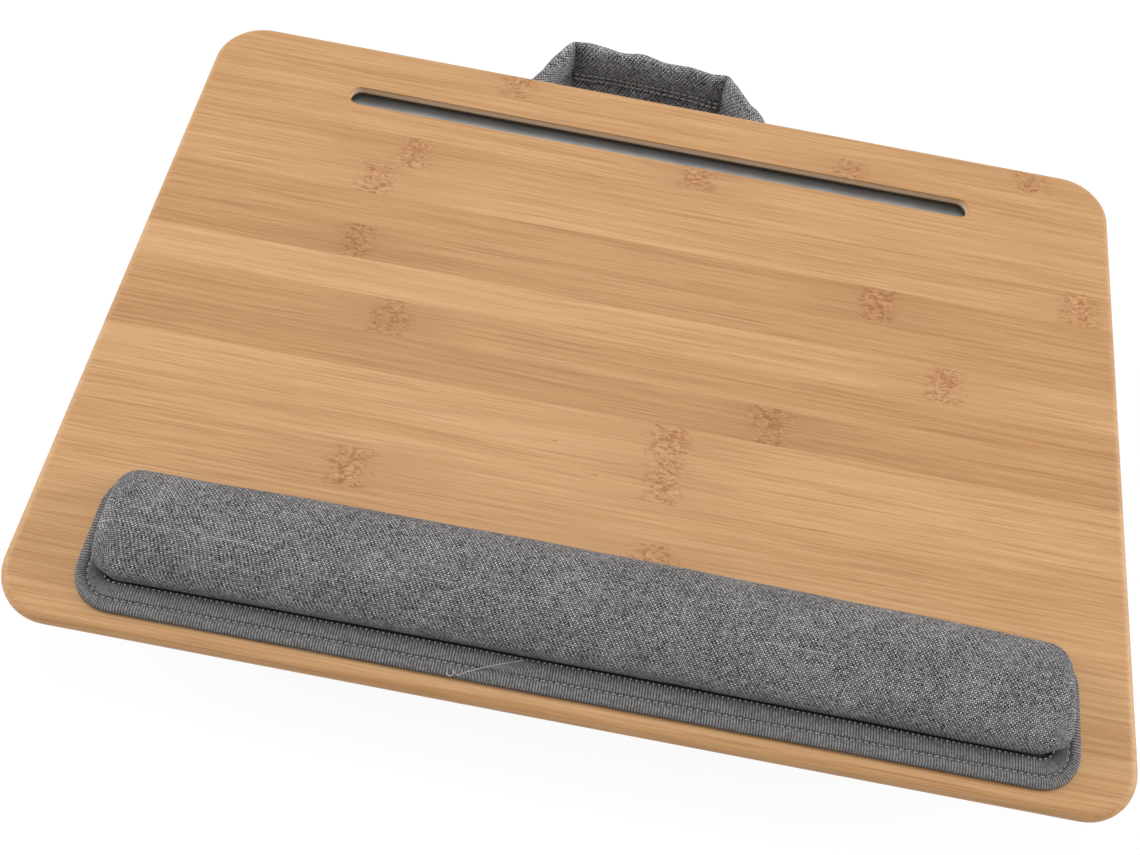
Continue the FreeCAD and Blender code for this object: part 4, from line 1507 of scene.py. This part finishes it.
def seen_directly(tree):
    """1 for what the camera, a reflection or a clear body shows, 0 for what lights the object."""
    path = add(tree, "ShaderNodeLightPath")
    seen = calc(tree, "MAXIMUM", path.outputs["Is Camera Ray"], path.outputs["Is Glossy Ray"])
    return calc(tree, "MAXIMUM", seen, path.outputs["Is Transmission Ray"])


def make_floor():
    mesh = bpy.data.meshes.new("floor")
    corners = [(14.0 * x, 14.0 * y, -0.0003) for x, y in ((-1, -1), (1, -1), (1, 1), (-1, 1))]
    mesh.from_pydata(corners, [], [(0, 1, 2, 3)])
    material = bpy.data.materials.new("floor")
    tree = empty_tree(material)
    matte = add(tree, "ShaderNodeBsdfDiffuse", {"Color": (0.93, 0.93, 0.93, 1.0)})
    white = add(tree, "ShaderNodeEmission", {"Color": (1.0, 1.0, 1.0, 1.0), "Strength": 1.05})
    amount = times(tree, seen_directly(tree), 0.88)
    both = add(tree, "ShaderNodeMixShader", {0: amount, 1: matte.outputs[0], 2: white.outputs[0]})
    add(tree, "ShaderNodeOutputMaterial", {"Surface": both.outputs[0]})
    mesh.materials.append(material)
    floor = new_object("floor", mesh)


def make_sky(settings):
    world = bpy.data.worlds.new("sky")
    bpy.context.scene.world = world
    tree = empty_tree(world)
    strength = blend_value(tree, seen_directly(tree), settings.sky, 1.0)
    sky = add(tree, "ShaderNodeBackground", {"Color": (1.0, 1.0, 1.0, 1.0), "Strength": strength})
    add(tree, "ShaderNodeOutputWorld", {"Surface": sky.outputs[0]})


def make_lamps():
    """A broad lamp high up behind, and a low one at each side."""
    aim = Vector((0.0, 0.02, 0.04))
    for name, place, size, power in (
        ("lamp_top", (-0.20, 1.00, 2.90), 1.6, 28.0),
        ("lamp_left", (-2.10, 0.25, 0.85), 1.3, 24.0),
        ("lamp_right", (2.10, 0.35, 0.75), 1.3, 27.0),
    ):
        light = bpy.data.lights.new(name, "AREA")
        light.shape = "DISK"
        light.size = size
        light.energy = power
        lamp = new_object(name, light)
        lamp.location = place
        lamp.rotation_euler = (aim - Vector(place)).to_track_quat("-Z", "Y").to_euler()


def make_camera(settings):
    data = bpy.data.cameras.new("camera")
    data.sensor_fit = "HORIZONTAL"
    data.sensor_width = 36.0
    data.lens = settings.lens
    data.clip_start = 0.01
    camera = new_object("camera", data)
    camera.location = settings.place
    camera.rotation_euler = settings.turn
    bpy.context.scene.camera = camera


class LAPDESK_PT_sidebar(bpy.types.Panel):
    bl_idname = "LAPDESK_PT_sidebar"
    bl_label = "Lap Desk"
    bl_space_type = "VIEW_3D"
    bl_region_type = "UI"
    bl_category = "Lap Desk"

    def draw(self, context):
        column = self.layout.column()
        for operator in OPERATORS:
            column.operator(operator.bl_idname)


SETTINGS = {
    "lap_desk_board": BoardSettings,
    "lap_desk_rest": RestSettings,
    "lap_desk_cushion": CushionSettings,
    "lap_desk_loop": LoopSettings,
    "lap_desk_stage": StageSettings,
}
OPERATORS = (
    LAPDESK_OT_stage,
    LAPDESK_OT_board,
    LAPDESK_OT_wrist_rest,
    LAPDESK_OT_cushion,
    LAPDESK_OT_carry_loop,
)


def register():
    for cls in (*SETTINGS.values(), *OPERATORS, LAPDESK_PT_sidebar):
        bpy.utils.register_class(cls)
    for name, group in SETTINGS.items():
        setattr(bpy.types.Scene, name, PointerProperty(type=group))


def unregister():
    for name in SETTINGS:
        delattr(bpy.types.Scene, name)
    for cls in reversed((*SETTINGS.values(), *OPERATORS, LAPDESK_PT_sidebar)):
        bpy.utils.unregister_class(cls)


def main():
    register()
    bpy.ops.lapdesk.stage()
    bpy.ops.lapdesk.board()
    bpy.ops.lapdesk.wrist_rest()
    bpy.ops.lapdesk.cushion()
    bpy.ops.lapdesk.carry_loop()


if __name__ == "__main__":
    main()
